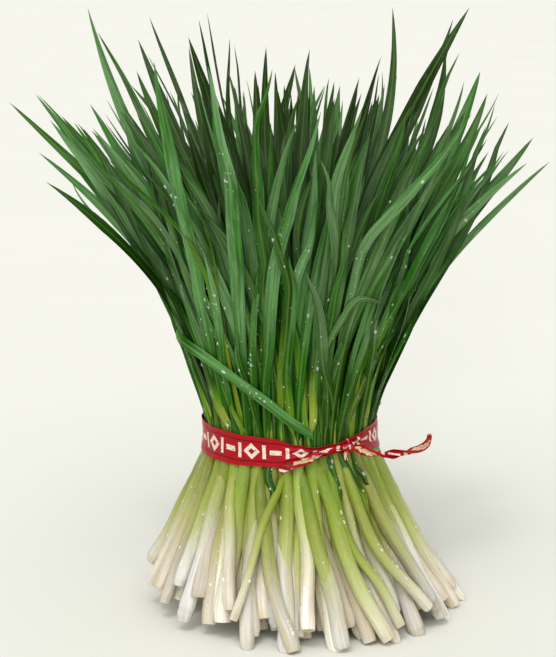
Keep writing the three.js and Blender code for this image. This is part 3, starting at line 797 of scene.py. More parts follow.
# %% One shoot
def shoot(skin, points, size, key, greener=0.0, sides=14, painted_gap_shade=0.0):
    """A tube of sheaths down the points, open and pointed at the top, cut across at the foot."""
    along, out, across = frames(points)
    run = travelled(points)
    from_tie = run - np.interp(-TIE_HEIGHT, -points[:, 2], run)
    u = from_tie / from_tie[-1]
    # a shoot isn't straight or even: a slow wobble and faint swellings
    wobble = np.sin(np.pi * np.clip(u, 0, 1)) ** 0.7
    points = shifted(points, out, 0.6 * np.sin(run / 15 + phase(key, 21)) * wobble)
    points = shifted(points, across, 0.9 * np.sin(run / 11 + phase(key, 22)) * wobble)
    radius = size * (STEM_RADIUS_TIE + (STEM_RADIUS_FOOT - STEM_RADIUS_TIE) * smooth(u, -0.05, 0.4))
    radius = radius * np.clip(0.25 + 0.75 * np.sqrt(run / 9), 0, 1)
    radius = radius * (1 + 0.035 * np.sin(run / 5 + phase(key, 23)) * wobble)
    # the white end swells a little towards the root plate that was cut off, and some end narrower
    radius = radius * (1 + 0.13 * draw(key, 33) * smooth(u, 0.8, 0.96) - 0.05 * smooth(u, 0.985, 1))
    radius = radius * (1 - 0.35 * draw(key, 34) ** 2 * smooth(u, 0.95, 1))
    angle = around(sides)
    flat = 1 + 0.08 * np.cos(2 * (angle - phase(key, 24)))
    circle = flat[None, :, None] * (
        np.cos(angle)[None, :, None] * out[:, None] + np.sin(angle)[None, :, None] * across[:, None]
    )
    rings = points[:, None] + radius[:, None, None] * circle
    rings[-1] = points[-1] + radius[-1] * 0.98 * circle[-1]
    face = cut_across(rings, points[-1], radius[-1] * circle[-1], along[-1], key)
    values = shoot_values(u, from_tie, key, greener, painted_gap_shade)
    girth = angle * float(size * STEM_RADIUS_FOOT)
    skin.loft(rings, run, girth, values)
    if draw(key, 47) < OLD_SHEATHS:
        outer_sheath(skin, rings, circle, run, values, girth, from_tie, key)
    wet_places(skin, rings, circle, along, values, key)
    rim, cut = (
        np.array([[CUT_RIPENESS, draw(key, 25), tint] for tint in tints]) for tints in (RIM_TINTS, CUT_TINTS)
    )
    skin.loft(np.stack([rings[-1], face[0]]), np.full(2, run[-1]), girth, rim)
    skin.loft(face, np.full(len(face), run[-1]), girth, cut, cap=True)


def shoot_of(skin, onion):
    """One onion's shoot, from where its sheath opens, through the tie, to its cut end."""
    ring, turn = onion["ring"], onion["turn"]
    tie = place(ring, turn, np.linspace(5, -5, 5))
    below = shoot_path(onion, np.linspace(0, 1, 26))
    size = 1 + (draw(onion["id"], 4) - 0.5) * 0.26
    # painted shade: the further in a shoot stands, the browner it is tinted low down
    painted_gap_shade = 0.4 * (1 - float(smooth(ring, 0.6, 0.95)))
    shoot(skin, np.concatenate([sheath_above(onion), tie, below]), size, onion["id"], painted_gap_shade=painted_gap_shade)


print("shoots open above the tape, in mm:", *OPENING)

# %% Build the shoots, group by group
faces_made, shoot_skins = 0, []
for label, _, members in groups:
    skin = Skin()
    for onion in members:
        shoot_of(skin, onion)
    piece = skin.build(f"shoots_{label}", sheath_tissue)
    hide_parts(f"stems_{label}")
    shoot_skins.append(skin)
    faces_made += len(piece.data.polygons)
print("faces in the shoots:", faces_made)

# %% [markdown]
# ## The shoots in between
#
# Even rings leave gaps when they spread at the foot, but a real bunch has none: shoots from
# inside push out between their neighbours. These extra ones start behind the outermost ring and end
# wherever there is most room, which a short search finds: of many seeded places, the clearest wins.
# A few more lie across the others in front, where the bunch was gathered by hand.

# %% Find where the shoots in between go
SIDE_SHOOTS, TRIALS, SIDE_RING = 72, 60, 0.85


def side_path(turn, foot_ring, foot_turn, lift, t):
    """A shoot from behind the outermost ring at the tie to this place at the foot."""
    rise = -SQUEEZE + (lift - TIE_HEIGHT + SQUEEZE) * t
    return place(SIDE_RING + (foot_ring - SIDE_RING) * t**1.1, turn + (foot_turn - turn) * t**1.3, rise)


# it is compared with its neighbours at three places down the shoot
levels = np.array([0.45, 0.7, 1.0])
taken = [shoot_path(o, levels) for o in onions if o["ring"] > 0.7]
side_shoots = []
for number in range(SIDE_SHOOTS):
    turn = (number + 0.5) * 360 / SIDE_SHOOTS
    best, clearest = None, -1
    left = float(smooth(-math.sin(math.radians(turn)), 0.5, 1))
    for trial in range(TRIALS):
        key = 5000 + number * TRIALS + trial
        # up to 7 degrees to either side, and cut off 1 to 14 mm above the table, or more on the left
        foot_turn = turn + (draw(key, 1) - 0.5) * 14
        foot_ring = 0.8 + 0.2 * draw(key, 2) + left * 0.03
        lift = 1 + 13 * draw(key, 3) + left * LEFT_SHORT
        points = side_path(turn, foot_ring, foot_turn, lift, levels)
        clear = min(float(np.min(np.linalg.norm((points - other)[:, :2], axis=1))) for other in taken)
        if clear > clearest:
            best, clearest = (turn, foot_ring, foot_turn, lift), clear
    side_shoots.append(best)
    taken.append(side_path(*best, levels))
print("the last one to find room has", round(clearest, 1), "mm of it")

# %% Build the shoots in between
skin = Skin()
for number, best in enumerate(side_shoots):
    key = 6000 + number
    tie = place(SIDE_RING, best[0], np.linspace(6, -5, 5))
    points = np.concatenate([tie, side_path(*best, np.linspace(0, 1, 26))])
    # the shoots in between stand in the gaps, so they get some painted shade too
    shoot(skin, points, 0.92 + 0.2 * draw(key, 4), key, painted_gap_shade=0.2)
between = skin.build("shoots_between", sheath_tissue)
shoot_skins.append(skin)
print("shoots in between:", len(side_shoots))

# %% Where the shoots that lie across the others go
# each: thickness, how green, and its (ring, turn, rise) from above the tie to the foot
CROSSING_SHOOTS = [
    (0.62, 0.0, [(0.86, -1, 2), (0.9, -4, -8), (0.99, -8, -17), (1.07, -13, -30), (1.09, -17, -45),
        (1.07, -22, -64), (1.05, -26, -81)]),
    (0.86, 0.5, [(0.86, 41, 2), (0.92, 38, -7), (1.03, 35, -20), (1.07, 36, -37), (1.08, 40, -54),
        (1.07, 46, -69), (1.04, 52, -82)]),
    (1.02, 0.4, [(0.84, 17, 2), (0.9, 18, -7), (1.0, 20, -22), (1.04, 22, -42), (1.04, 25, -71),
        (1.0, 30, -92)]),
    (0.8, 0.6, [(0.86, 27, 2), (0.92, 26, -7), (1.02, 24, -24), (1.04, 27, -46), (1.04, 33, -66),
        (1.02, 36, -87)]),
    (0.9, 0.2, [(0.84, -43, 2), (0.89, -42, -9), (1.0, -36, -28), (1.05, -31, -52), (1.04, -28, -77)]),
    (1.0, 0.5, [(0.84, 3, 2), (0.9, 4, -8), (1.01, 8, -26), (1.05, 11, -50), (1.04, 12, -71), (1.0, 12, -93)]),
    (0.95, 0.3, [(0.84, -22, 2), (0.89, -21, -9), (1.0, -17, -28), (1.04, -13, -52), (1.04, -8, -74),
        (1.01, -5, -94)]),
    (0.9, 0.7, [(0.84, 53, 2), (0.9, 52, -8), (1.01, 50, -26), (1.05, 51, -48), (1.05, 54, -70),
        (1.02, 57, -85)]),
]
print("shoots that cross:", len(CROSSING_SHOOTS))

# %% Build the shoots that lie across
skin = Skin()
for number, (size, greener, points) in enumerate(CROSSING_SHOOTS):
    path = smooth_curve([place(*p) for p in points], 40)
    shoot(skin, path, size, 7000 + number, greener)
crossing = skin.build("shoots_across", sheath_tissue)
shoot_skins.append(skin)
for piece in (between, crossing):
    print(piece.name, "faces:", len(piece.data.polygons))

# %% [markdown]
# ## The blades
#
# A blade leaves its sheath as a folded channel, opens into a strap 5 to 8 mm wide and is drawn out
# to a point. Subdividing a plane and bending it would do for one leaf, but not for hundreds that
# must lie together, so each is lofted along its own path: the same path as the solid's, with more
# points, a real channel on the inner face and a soft ripple. Most tips hook a little to one side,
# and a few have dried. An onion's younger blades are slimmer and stand inside the others.

# %% One blade
# the places across its outer face, as shares of half the width; the inner face has the same, reversed
ACROSS_OUT = np.array([-1, -0.72, -0.36, 0, 0.36, 0.72])
ACROSS_IN = -ACROSS_OUT
KEEL_DEPTH, TIP_HOOK = 1.2, 9
# how many of the blades are pale at the base, have a dry tip, or were splashed
PALE_BASES, DRY_TIPS, SPLASHED_BLADES = 0.12, 0.3, 0.14


def blade_ripeness(run, rise, key, ripening_run):
    """How ripe it is along its length: as told, or else by its rise above the tape."""
    if ripening_run is not None:
        young, old, start, end = ripening_run
        return young + (old - young) * smooth(run, start, end)
    if draw(key, 34) < PALE_BASES:
        return 0.53 + 0.41 * smooth(rise, 25, 105 + 90 * draw(key, 35))
    return 0.7 + 0.28 * smooth(rise, 12, 75 + 40 * draw(key, 35))


def blade(skin, points, width, twist, key, ripening_run=None, taper=None, lightness=1.0, splash=None):
    """A strap blade over the points: channelled inside, keeled outside, drawn out to a point."""
    t = np.linspace(0, 1, len(points))
    along, out, across = frames(points)
    run = travelled(points)
    bend = np.sin(np.pi * t)
    points = shifted(points, across, 1.8 * (draw(key, 31) - 0.5) * np.sin(2 * np.pi * t * 1.5) * bend)
    points = shifted(points, out, 1.6 * (draw(key, 32) - 0.5) * np.sin(2 * np.pi * t * 1.2) * bend)
    # most tips bend a little to one side at the end, and the face turns further
    points = shifted(points, across, (draw(key, 44) - 0.5) * TIP_HOOK * smooth(t, 0.72, 1) ** 2)
    along, out, across = frames(points)
    taper = taper or 0.17 + 0.13 * draw(key, 39)
    half = 0.5 * width * (0.7 + 0.3 * smooth(t, 0, 0.3)) * (1 - 0.06 * smooth(t, 0.5, 0.85))
    half = half * np.clip((1 - t) / taper, 0, 1) ** 0.72
    fold = 1 - smooth(t, 0.02, 0.28)
    keel = KEEL_DEPTH * (1 - 0.3 * t) * (1 + 1.2 * fold) * np.clip((1 - t) / 0.1 + 0.15, 0, 1)
    angle = twist(t) + 0.15 * np.sin(run / 21 + phase(key, 33)) + 1.1 * (draw(key, 43) - 0.5) * t**1.5
    cosine, sine = np.cos(angle)[:, None], np.sin(angle)[:, None]
    side = across * cosine + out * sine
    face = out * cosine - across * sine
    back = (1 - np.abs(ACROSS_OUT) ** 1.6) - 0.3
    channel = np.maximum(0.38 * (1 - np.abs(ACROSS_IN) ** 1.3) - 0.3, -0.3)
    s = np.concatenate([ACROSS_OUT, ACROSS_IN])
    height = np.concatenate([back, channel])
    rings = (
        points[:, None]
        + side[:, None] * (half[:, None] * s[None])[:, :, None]
        + face[:, None] * (keel[:, None] * height[None])[:, :, None]
    )
    ripe = blade_ripeness(run, points[:, 2] - TIE_HEIGHT, key, ripening_run)
    # lightness darkens the tone as painted shade, for blades that stand deep in the bunch
    tone = (0.32 + 0.68 * draw(key, 37)) * lightness
    dry = 0.8 * smooth(t, 0.97, 1.0) * (draw(key, 38) < DRY_TIPS)
    values = np.stack([ripe, np.full_like(ripe, tone), dry], -1)
    skin.loft(rings[:-1], run[:-1], s * width / 2, values[:-1], tip=points[-1])
    # where drops may sit: here and there, and close together where water splashed on the blade
    if splash is None and draw(key, 47) < SPLASHED_BLADES:
        splash = 0.3 + 0.45 * draw(key, 48)
    spots = [0.12 + 0.7 * draw(key, use) for use in range(50, 58)]
    spots += [splash + 0.12 * draw(key, use) for use in range(60, 84) if splash]
    for number, spot in enumerate(spots):
        i, k = int(len(points) * spot), 1 + int(4 * draw(key, 90 + number))
        skin.wet_spots.append((rings[i, k], face[i], along[i], values[i]))


print("points round a blade:", 2 * len(ACROSS_OUT))

# %% Two leaves in front that belong to the outer groups
# each: the turn of its own group, width, length of its taper, how it ripens, its (ring, turn, rise) points
FRONT_LEAVES = [
    (-28, 5.6, 0.08, (0.56, 0.9, 52, 84), [(0.97, -66, 8), (1.03, -69, 26), (1.06, -73, 42),
        (1.08, -77, 54), (1.1, -75, 57.5), (1.12, -66, 55.5), (1.12, -46, 49.5), (1.11, -28, 39),
        (1.1, -10, 27), (1.08, 3, 16), (1.01, 13, 8.5), (0.95, 17, 3), (0.93, 19, -3)]),
    (33, 4.5, 0.25, (0.62, 0.95, 0, 60), [(0.95, 21, 6), (1.05, 18, 30), (1.1, 18.5, 57), (1.12, 23.5, 76),
        (1.13, 26.5, 85), (1.135, 30, 86), (1.14, 36, 81.5), (1.15, 43, 76)]),
]
print("long leaves in front:", len(FRONT_LEAVES))

# %% Build the blades, group by group
SLIMMER = 0.97  # a fine blade curls a little, so it shows narrower than the flat solid
YOUNGER_BLADES = 0.55  # how many of the onions outside the heart show one
faces_made, blade_skins = 0, []
for label, land, members in groups:
    skin = Skin()
    for onion in members:
        # painted shade: the blades in the heart of the bunch are coloured darker, as if in the shadow of the
        # rest
        lightness = float(smooth(onion["ring"], 0.3, 0.92))
        for layer in range(LEAVES_EACH):
            path, width, twist, key = blade_of(onion, layer)
            # where the tape is gathered to a cord, the blades show further down
            t_blade = np.linspace(-0.05 if -6 < turn_from(onion["turn"], -180) < 66 else 0, 1, 35)
            width *= SLIMMER * (0.88 + 0.3 * draw(key, 40))
            # painted shade: the inner blade of each pair is coloured darker still, as if shaded by the outer
            # one, and the outer one a touch lighter
            own = lightness * (0.74 if layer == 0 else 1.04)
            blade(skin, path(t_blade), width, twist, key, lightness=own)
        # the younger blades inside, slimmer and a little shorter
        if onion["ring"] > 0.5 and draw(onion["id"], 45) < YOUNGER_BLADES:
            path, width, twist, key = blade_of(onion, -1)
            path_points = path(t_blade * (0.55 + 0.3 * draw(key, 42)))
            blade(skin, path_points, 0.75 * width, twist, 500 + key, lightness=lightness)
    for number, (home, width, taper, ripening_run, points) in enumerate(FRONT_LEAVES):
        if label.startswith("outer") and turn_from(home, land["start"]) < land["start"] + land["width"]:
            path = smooth_curve([place(*p) for p in points], 60)
            blade(skin, path, width, lambda t: 0 * t, 9000 + number, ripening_run, taper)
    piece = skin.build(f"blades_{label}", blade_tissue)
    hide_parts(f"leaves_{label}")
    blade_skins.append(skin)
    faces_made += len(piece.data.polygons)
print("faces in the blades:", faces_made)

# %% [markdown]
# ## Blades that cross
#
# Cut leaves that were gathered by hand never all run one way. Some lie outside the rest and cross
# them at a slant. Those in front are set one by one, with a width, a brightness and a few points
# each. The ones round the rest of the bunch follow the same idea by a seeded rule. They start under
# the tape's upper edge like all the others, and lie on them, a little further out than the ring
# that carries them. A few ends of old leaves hang just below the tape.

# %% Where the blades across the front go
BRIGHT, PALE = (0.55, 0.86, 12, 90), (0.38, 0.74, 10, 50)


def rooted(lower, upper, *points):
    """The points of a leaf that starts behind the tape, at these two turns, and goes on through these."""
    return [(0.94, lower, -1), (0.965, upper, 9), *points]


# each: width, how it ripens if not like the rest, its twist in degrees, and its (ring, turn, rise) points
ACROSS_FRONT = [
    (4.6, (0.5, 0.68, 40, 170), 20, rooted(-33, -33, (1.02, -35, 38), (1.04, -34, 66), (1.04, -30, 90),
        (1.03, -26, 109), (1.02, -25, 124), (0.99, -25, 141), (0.95, -26, 155), (0.92, -26, 170))),
    (7.6, None, 0, rooted(-31, -30, (1.04, -26, 50), (1.06, -21, 84), (1.06, -18, 104), (1.05, -15, 130),
        (1.02, -13, 153), (0.95, -14, 175), (0.82, -16, 208))),
    (6.8, None, -10, rooted(-46, -46, (1.04, -45, 50), (1.05, -41, 78), (1.05, -35, 102), (1.04, -32, 121),
        (1.02, -28, 146), (0.93, -24, 188), (0.84, -24, 210))),
    (7.2, None, 12, rooted(-16, -16, (1.04, -14, 40), (1.08, -10, 59), (1.1, -7, 79), (1.1, -4, 103),
        (1.1, -2, 119), (1.09, 0, 134), (1.04, 2, 152), (0.97, 5, 171), (0.89, 7, 187))),
    (5.0, None, -15, rooted(-6, -5, (1.06, -3, 48), (1.11, -1, 79), (1.12, 0, 97), (1.12, -2, 113),
        (1.1, -4, 132), (1.07, -5, 148))),
    (6.2, None, 10, rooted(30, 29, (1.04, 26, 28), (1.1, 19, 46), (1.12, 15, 66), (1.12, 11, 86),
        (1.1, 9, 104))),
    (5.2, BRIGHT, 0, rooted(22, 22, (1.05, 20, 44), (1.08, 19, 72), (1.09, 18, 92), (1.1, 18, 105),
        (1.09, 17, 118), (1.06, 17, 133))),
    (5.6, None, -8, rooted(28, 27, (1.0, 22, 50), (1.02, 19, 85), (1.03, 15, 117), (1.01, 14, 136),
        (0.98, 13, 155), (0.94, 13, 172), (0.88, 14, 190))),
    (5.4, None, 10, rooted(40, 40, (1.06, 42, 38), (1.1, 44, 56), (1.1, 46, 71), (1.08, 48, 87),
        (1.03, 52, 104))),
    (5.0, None, 0, rooted(-8, -7, (1.04, -3, 40), (1.06, 0, 66), (1.07, 3, 98), (1.06, 7, 118),
        (1.01, 8, 143))),
    (4.6, BRIGHT, 25, rooted(-60, -58, (1.02, -53, 42), (1.04, -54, 61), (1.05, -58, 80), (1.05, -65, 95),
        (1.03, -68, 117), (1.0, -66, 132))),
    (6.8, None, 20, rooted(-80, -79, (1.0, -74, 42), (1.02, -78, 66), (1.03, -80, 86), (1.02, -79, 104),
        (1.01, -78, 118), (1.01, -77, 131), (1.0, -76, 144))),
    (5.2, (0.52, 0.66, 60, 170), 15, rooted(-52, -50, (1.01, -42, 60), (1.03, -33, 92), (1.04, -32, 110),
        (1.02, -35, 125), (1.0, -40, 137), (0.97, -45, 146), (0.93, -50, 160))),
    (5.6, None, 0, rooted(-65, -63, (1.0, -50, 60), (1.02, -42, 100), (1.0, -44, 127), (0.97, -51, 138),
        (0.93, -59, 150), (0.88, -70, 168))),
    (5.4, None, 10, rooted(34, 33, (1.04, 29, 50), (1.09, 25, 95), (1.12, 23, 119), (1.11, 27, 138),
        (1.08, 30, 150), (1.02, 35, 164), (0.92, 42, 181))),
    (7.0, None, 8, rooted(38, 39, (1.04, 43, 35), (1.1, 47, 55), (1.12, 50, 76), (1.12, 50, 95),
        (1.09, 50, 110), (1.05, 52, 124), (0.98, 56, 144))),
    (6.6, PALE, 10, rooted(-63, -64, (1.02, -66, 20), (1.05, -70, 34), (1.06, -70, 50), (1.05, -71, 63),
        (1.02, -74, 84))),
    (6.4, PALE, 0, rooted(-41, -44, (1.03, -47, 19), (1.06, -52, 32), (1.06, -55, 45), (1.05, -57, 60),
        (1.02, -60, 80))),
    (4.6, BRIGHT, 10, rooted(-29, -32, (1.03, -33, 14), (1.06, -39, 27), (1.06, -43, 40), (1.05, -46, 54),
        (1.02, -50, 74))),
    (5.0, PALE, 0, rooted(62, 60, (1.04, 58, 16), (1.06, 57, 27), (1.06, 56, 41), (1.04, 54, 62))),
    (4.6, PALE, 10, rooted(80, 78, (1.03, 77, 18), (1.05, 72, 28), (1.05, 69, 42), (1.02, 68, 62))),
    (4.2, (0.42, 0.8, 20, 70), 0, rooted(13, 14, (1.05, 14, 16), (1.08, 14, 30), (1.1, 14, 47),
        (1.09, 14, 63), (1.06, 15, 84))),
    (4.4, None, 0, rooted(26, 25, (1.05, 23, 21), (1.08, 21, 35), (1.09, 18, 52), (1.06, 16, 74))),
    (5.4, BRIGHT, 15, rooted(42, 42, (1.05, 41, 22), (1.09, 45, 35), (1.12, 50, 49), (1.13, 56, 62),
        (1.12, 59, 75), (1.08, 60, 94))),
    (5.0, None, 0, rooted(-37, -37, (1.04, -37, 19), (1.07, -38, 35), (1.08, -37, 55), (1.08, -33, 73),
        (1.07, -30, 90), (1.04, -27, 112))),
    (4.4, None, 0, rooted(-18, -20, (1.04, -22, 21), (1.07, -25, 34), (1.07, -27, 48), (1.06, -26, 68))),
    (6.8, None, -5, rooted(18, 18, (1.0, 16, 60), (1.03, 14, 95), (1.06, 13, 120), (1.05, 12, 137),
        (1.03, 11, 153), (0.95, 12, 173), (0.85, 14, 189))),
    (6.2, (0.7, 0.83, 20, 120), 0, rooted(-6, -6, (0.99, -7, 60), (1.01, -8, 100), (1.04, -8, 129),
        (1.01, -7, 148), (0.95, -7, 168), (0.9, -7, 183), (0.84, -6, 193), (0.75, -5, 207))),
    (6.0, None, 0, rooted(20, 20, (1.02, 19, 50), (1.06, 17, 90), (1.08, 14, 120), (1.08, 10, 140),
        (1.06, 8, 154), (1.0, 6, 163))),
    (4.6, None, 0, rooted(-72, -72, (1.0, -74, 60), (1.04, -76, 95), (1.09, -77, 112), (1.12, -77, 124),
        (1.1, -77, 134), (1.06, -77, 142))),
    (4.6, (0.85, 0.8, 0, 30), 0, [(0.95, -15, 2), (0.99, -14.5, -8), (1.035, -13, -14), (1.05, -11, -19),
        (1.05, -9, -25)]),
    (4.6, (0.85, 0.7, 0, 34), 0, [(0.95, 27, 2), (0.99, 27, -8), (1.035, 27, -14), (1.05, 27, -28)]),
    (5.6, (0.85, 0.5, 14, 34), 0, [(0.95, 33, 2), (0.99, 35, -6), (1.035, 38, -14), (1.05, 42, -34)]),
    (3.6, (0.85, 0.7, 0, 26), 0, [(0.95, 44, 2), (1.0, 45, -8), (1.04, 46, -14), (1.05, 47.5, -23)]),
    (4.8, BRIGHT, 0, rooted(4, 2, (1.05, 0, 24), (1.08, -1, 41), (1.11, 1, 64), (1.11, 2, 87), (1.09, 3, 112))),
]
# which of them were splashed, and from which part of their length on
SPLASHES = {3: 0.6, 7: 0.55, 9: 0.7, 14: 0.45}
print("blades set one by one:", len(ACROSS_FRONT))

# %% Build the blades across the front
skin = Skin()
for number, (width, ripening_run, twist, points) in enumerate(ACROSS_FRONT):
    path = smooth_curve([place(*p) for p in points], 44)
    splash = SPLASHES.get(number)
    blade(skin, path, width, lambda t: np.radians(twist * (1 + t)), 9100 + number, ripening_run, splash=splash)
front_blades = skin.build("blades_across_front", blade_tissue)
blade_skins.append(skin)
print("faces in them:", len(front_blades.data.polygons))

# %% Blades across the rest
LOOSE_BLADES, LOOSE_RING = 96, 0.96
skin = Skin()
for number in range(LOOSE_BLADES):
    key = 8000 + number
    turn = (number + draw(key, 1)) * 360 / LOOSE_BLADES
    # it leans up to 23 degrees to either side and ends 105 to 185 mm above the tape
    lean = (draw(key, 2) - 0.5) * 46
    tip_rise = 105 + 80 * draw(key, 3)
    tip_ring = 0.84 + 0.14 * draw(key, 4)
    t = np.linspace(0, 1, 36)
    # where the tape is gathered to a cord, it shows further down
    root = -1 if turn < 66 or turn > 354 else 6
    rise = root + (tip_rise - root) * t
    angle = turn + lean * t**1.5
    bow = RIGHT_BOW * np.maximum(0, np.sin(np.radians(angle))) * np.sin(np.pi * t)
    layer = LOOSE_RING + (0.05 + 0.05 * draw(key, 5)) * np.sin(np.pi * np.clip(t * 1.1, 0, 1))
    ring = layer + bow + (tip_ring - LOOSE_RING) * smooth(t, 0.45, 1)
    side = math.sin(math.radians(turn))
    face = (draw(key, 6) - 0.5) * 50 + (40 * side**2 if draw(key, 7) < 0.5 else -40 * side**2)
    width = 4.2 + 2.2 * draw(key, 8)
    blade(skin, place(ring, angle, rise), width, lambda t: np.radians(face * (1 + 0.6 * t)), key)
loose_blades = skin.build("blades_across_rest", blade_tissue)
blade_skins.append(skin)
print("loose blades:", LOOSE_BLADES, "faces:", len(loose_blades.data.polygons))

# %% [markdown]
# ## Water drops
#
# The bunch was rinsed before it was tied, so small drops cling to the blades and shoots, in rows where
# water splashed. Each is a low dome of about 0.5 to 1.7 mm, longer down the leaf than across it,
# because water creeps along the veins. A drop could be glass with water's IOR, but at this size it
# only shows the skin right under it. So it takes the skin's own colour, lightened towards white as a
# painted highlight, keeps water's smooth face, and is known by its sharp glint.

# %% Water on the tissue
# painted highlight: a drop's colour is drawn 1.1 to 1.5 times as light as the skin under it
clear_water = onion_tissue("clear_water_painted_highlight", (1.1, 1.5))
water_tree = clear_water.node_tree
water_skin = water_tree.nodes["Principled BSDF"]
# smooth and wet all over, so these two come from the shader's own sockets
for socket, value in (("Coat Weight", 1.0), ("Roughness", 0.03)):
    water_tree.links.remove(water_skin.inputs[socket].links[0])
    water_skin.inputs[socket].default_value = value
# painted highlight: the skin's colour is mixed a third of the way to white, so each drop shows as a bright speck
under = water_skin.inputs["Base Color"].links[0].from_socket
painted_highlight = add(water_tree, "Mix", {"Factor": 0.35, "A": under, "B": linear("ffffff")}, data_type="RGBA")
feed(water_tree, water_skin, {"Base Color": painted_highlight, "IOR": 1.333, "Coat Roughness": 0.02})
print("water:", clear_water.name)

# %% Drops on the outer blades and shoots
# a dome from the skin upwards: (share of its half width, height as a share of it)
DOME = [(0.95, -0.12), (1.0, 0.1), (0.8, 0.38), (0.42, 0.56), (0.1, 0.62)]
SEEN_RING = 0.93  # drops further in would be hidden


def drop(skin, point, normal, along, value, key, sides=8):
    """A low dome of water on the skin."""
    size = 0.24 + 0.62 * draw(key, 1) ** 3
    length = size * (1.1 + 0.8 * draw(key, 2))
    normal = unit(normal)
    along = unit(along - normal * np.dot(along, normal))
    side = np.cross(normal, along)
    turn = around(sides)[:, None]
    oval = along * np.cos(turn) * length + side * np.sin(turn) * size * 0.9
    rings = np.stack([point + oval * share + normal * size * high for share, high in DOME])
    skin.loft(rings, np.arange(len(DOME)) * 0.3, np.ones(sides), np.tile(value, (len(DOME), 1)), cap=True)


for carrier, skins, share, use, slot in (
    ("blades", blade_skins, 0.4, 7, "leaf"), ("shoots", shoot_skins, 0.5, 8, "stem")
):
    skin = Skin()
    spots = [spot for lofted in skins for spot in lofted.wet_spots]
    for key, (point, normal, along, value) in enumerate(spots, 20000):
        if locate(*point)[0] > SEEN_RING and draw(key, use) < share:
            drop(skin, point, normal, along, value, key)
    drops = skin.build(f"drops_on_{carrier}", clear_water)
    print(drops.name, "faces:", len(drops.data.polygons))

# %% [markdown]
# ## Printed tape
#
# The tie is a 17 mm strip of thin red plastic tape with white print in front. Its back is unprinted
# cream, red along the edges, and a crease is pressed in 3 mm inside each edge. The print here is a
# plain row of diamonds and bars, and has rubbed off in places. The pattern could be an image, but a
# few maths nodes on the UV map draw it sharply at any size, because the UVs are true millimetres
# along and across the strip.

# %% Printed tape
MARK_SPACING, MARK_SIZE = 13.0, 4.7  # half of what repeats along the tape, and half a diamond
CREASE_FROM_MIDDLE = 5.7
# two bars after each diamond: how far along, half the width and half the height
BARS = ((0.53 * MARK_SPACING, 0.95, 4.1), (0.88 * MARK_SPACING, 1.55, 1.4))


def printed_tape(name):
    """Thin plastic tape: satin red print with white marks in front, red edges on cream behind."""
    material, tree, skin = finish_named(name)
    on_tape_mm = add(tree, "UVMap", uv_map="mm")
    spot = add(tree, "SeparateXYZ", {"Vector": on_tape_mm})
    along, across = spot.outputs["X"], spot.outputs["Y"]
    stored = add(tree, "Attribute", attribute_name="growth")
    behind = add(tree, "SeparateColor", {"Color": stored.outputs["Color"]}).outputs["Blue"]

    # the print: a diamond with a hole, then a pair of bars, over and over
    cell = add(tree, "Math", (along, MARK_SPACING), operation="PINGPONG")
    height = add(tree, "Math", (across,), operation="ABSOLUTE")
    from_centre = add(tree, "Math", (cell, height), operation="ADD")
    inside = add(tree, "Math", (from_centre, MARK_SIZE), operation="LESS_THAN")
    beyond_hole = add(tree, "Math", (from_centre, 0.4 * MARK_SIZE), operation="GREATER_THAN")
    marks = add(tree, "Math", (inside, beyond_hole), operation="MULTIPLY")
    for place_mm, half_width, half_height in BARS:
        from_bar = add(tree, "Math", (cell, place_mm, half_width), operation="COMPARE")
        low_enough = add(tree, "Math", (height, half_height), operation="LESS_THAN")
        bar = add(tree, "Math", (from_bar, low_enough), operation="MULTIPLY")
        marks = add(tree, "Math", (marks, bar), operation="MAXIMUM")
    # the ink has rubbed off here and there
    rubbed = add(tree, "TexNoise", {"Vector": on_tape_mm, "Scale": 0.9, "Detail": 4.0})
    kept = add(tree, "Math", (rubbed, 0.38), operation="GREATER_THAN")
    marks = add(tree, "Math", (marks, kept), operation="MULTIPLY")

    # the creases: two thin darker lines, pressed in
    crease = add(tree, "Math", (height, CREASE_FROM_MIDDLE, 0.3), operation="COMPARE")
    tint = add(tree, "TexNoise", {"Vector": on_tape_mm, "Scale": 0.25, "Detail": 2.0})
    red = add(tree, "Mix", {"Factor": tint, "A": linear("8e0814"), "B": linear("ae0e1e")}, data_type="RGBA")
    creased = add(tree, "Mix", {"Factor": crease, "A": red, "B": linear("5c0610")}, data_type="RGBA")
    printed = add(tree, "Mix", {"Factor": marks, "A": creased, "B": linear("dccfbe")}, data_type="RGBA")
    # behind, the red shows through at the edges and in flecks on unprinted cream
    flecks = add(tree, "TexNoise", {"Vector": on_tape_mm, "Scale": 0.45, "Detail": 3.0})
    flecked = add(tree, "Math", (flecks, 9.0, 0.0), operation="MULTIPLY_ADD")
    red_edge = add(tree, "Math", (height, flecked), operation="ADD")
    bare = add(tree, "Math", (red_edge, 9.4), operation="LESS_THAN")
    back = add(tree, "Mix", {"Factor": bare, "A": red, "B": linear("dcc9a6")}, data_type="RGBA")
    shown = add(tree, "Mix", {"Factor": behind, "A": printed, "B": back}, data_type="RGBA")

    # relief: long pulled wrinkles, fine crumples and the pressed creases
    pulled_spot = add(tree, "VectorMath", (on_tape_mm, (0.07, 0.6, 1)), operation="MULTIPLY")
    pulled = add(tree, "TexNoise", {"Vector": pulled_spot, "Scale": 1.0, "Detail": 3.0})
    crumple = add(tree, "TexNoise", {"Vector": on_tape_mm, "Scale": 0.5, "Detail": 5.0, "Roughness": 0.6})
    wrinkles = add(tree, "Math", (pulled, crumple), operation="ADD")
    relief = add(tree, "Math", (crease, -0.5, wrinkles), operation="MULTIPLY_ADD")
    bump = add(tree, "Bump", {"Height": relief, "Strength": 0.7, "Distance": 0.0005})
    satin = {"Roughness": 0.34, "IOR": 1.5, "Specular IOR Level": 0.12}
    feed(tree, skin, {"Base Color": shown, "Normal": bump, **satin})
    return material


tape_finish = printed_tape("printed_plastic_tape")
print("tape finish:", tape_finish.name, "marks every", 2 * MARK_SPACING, "mm")

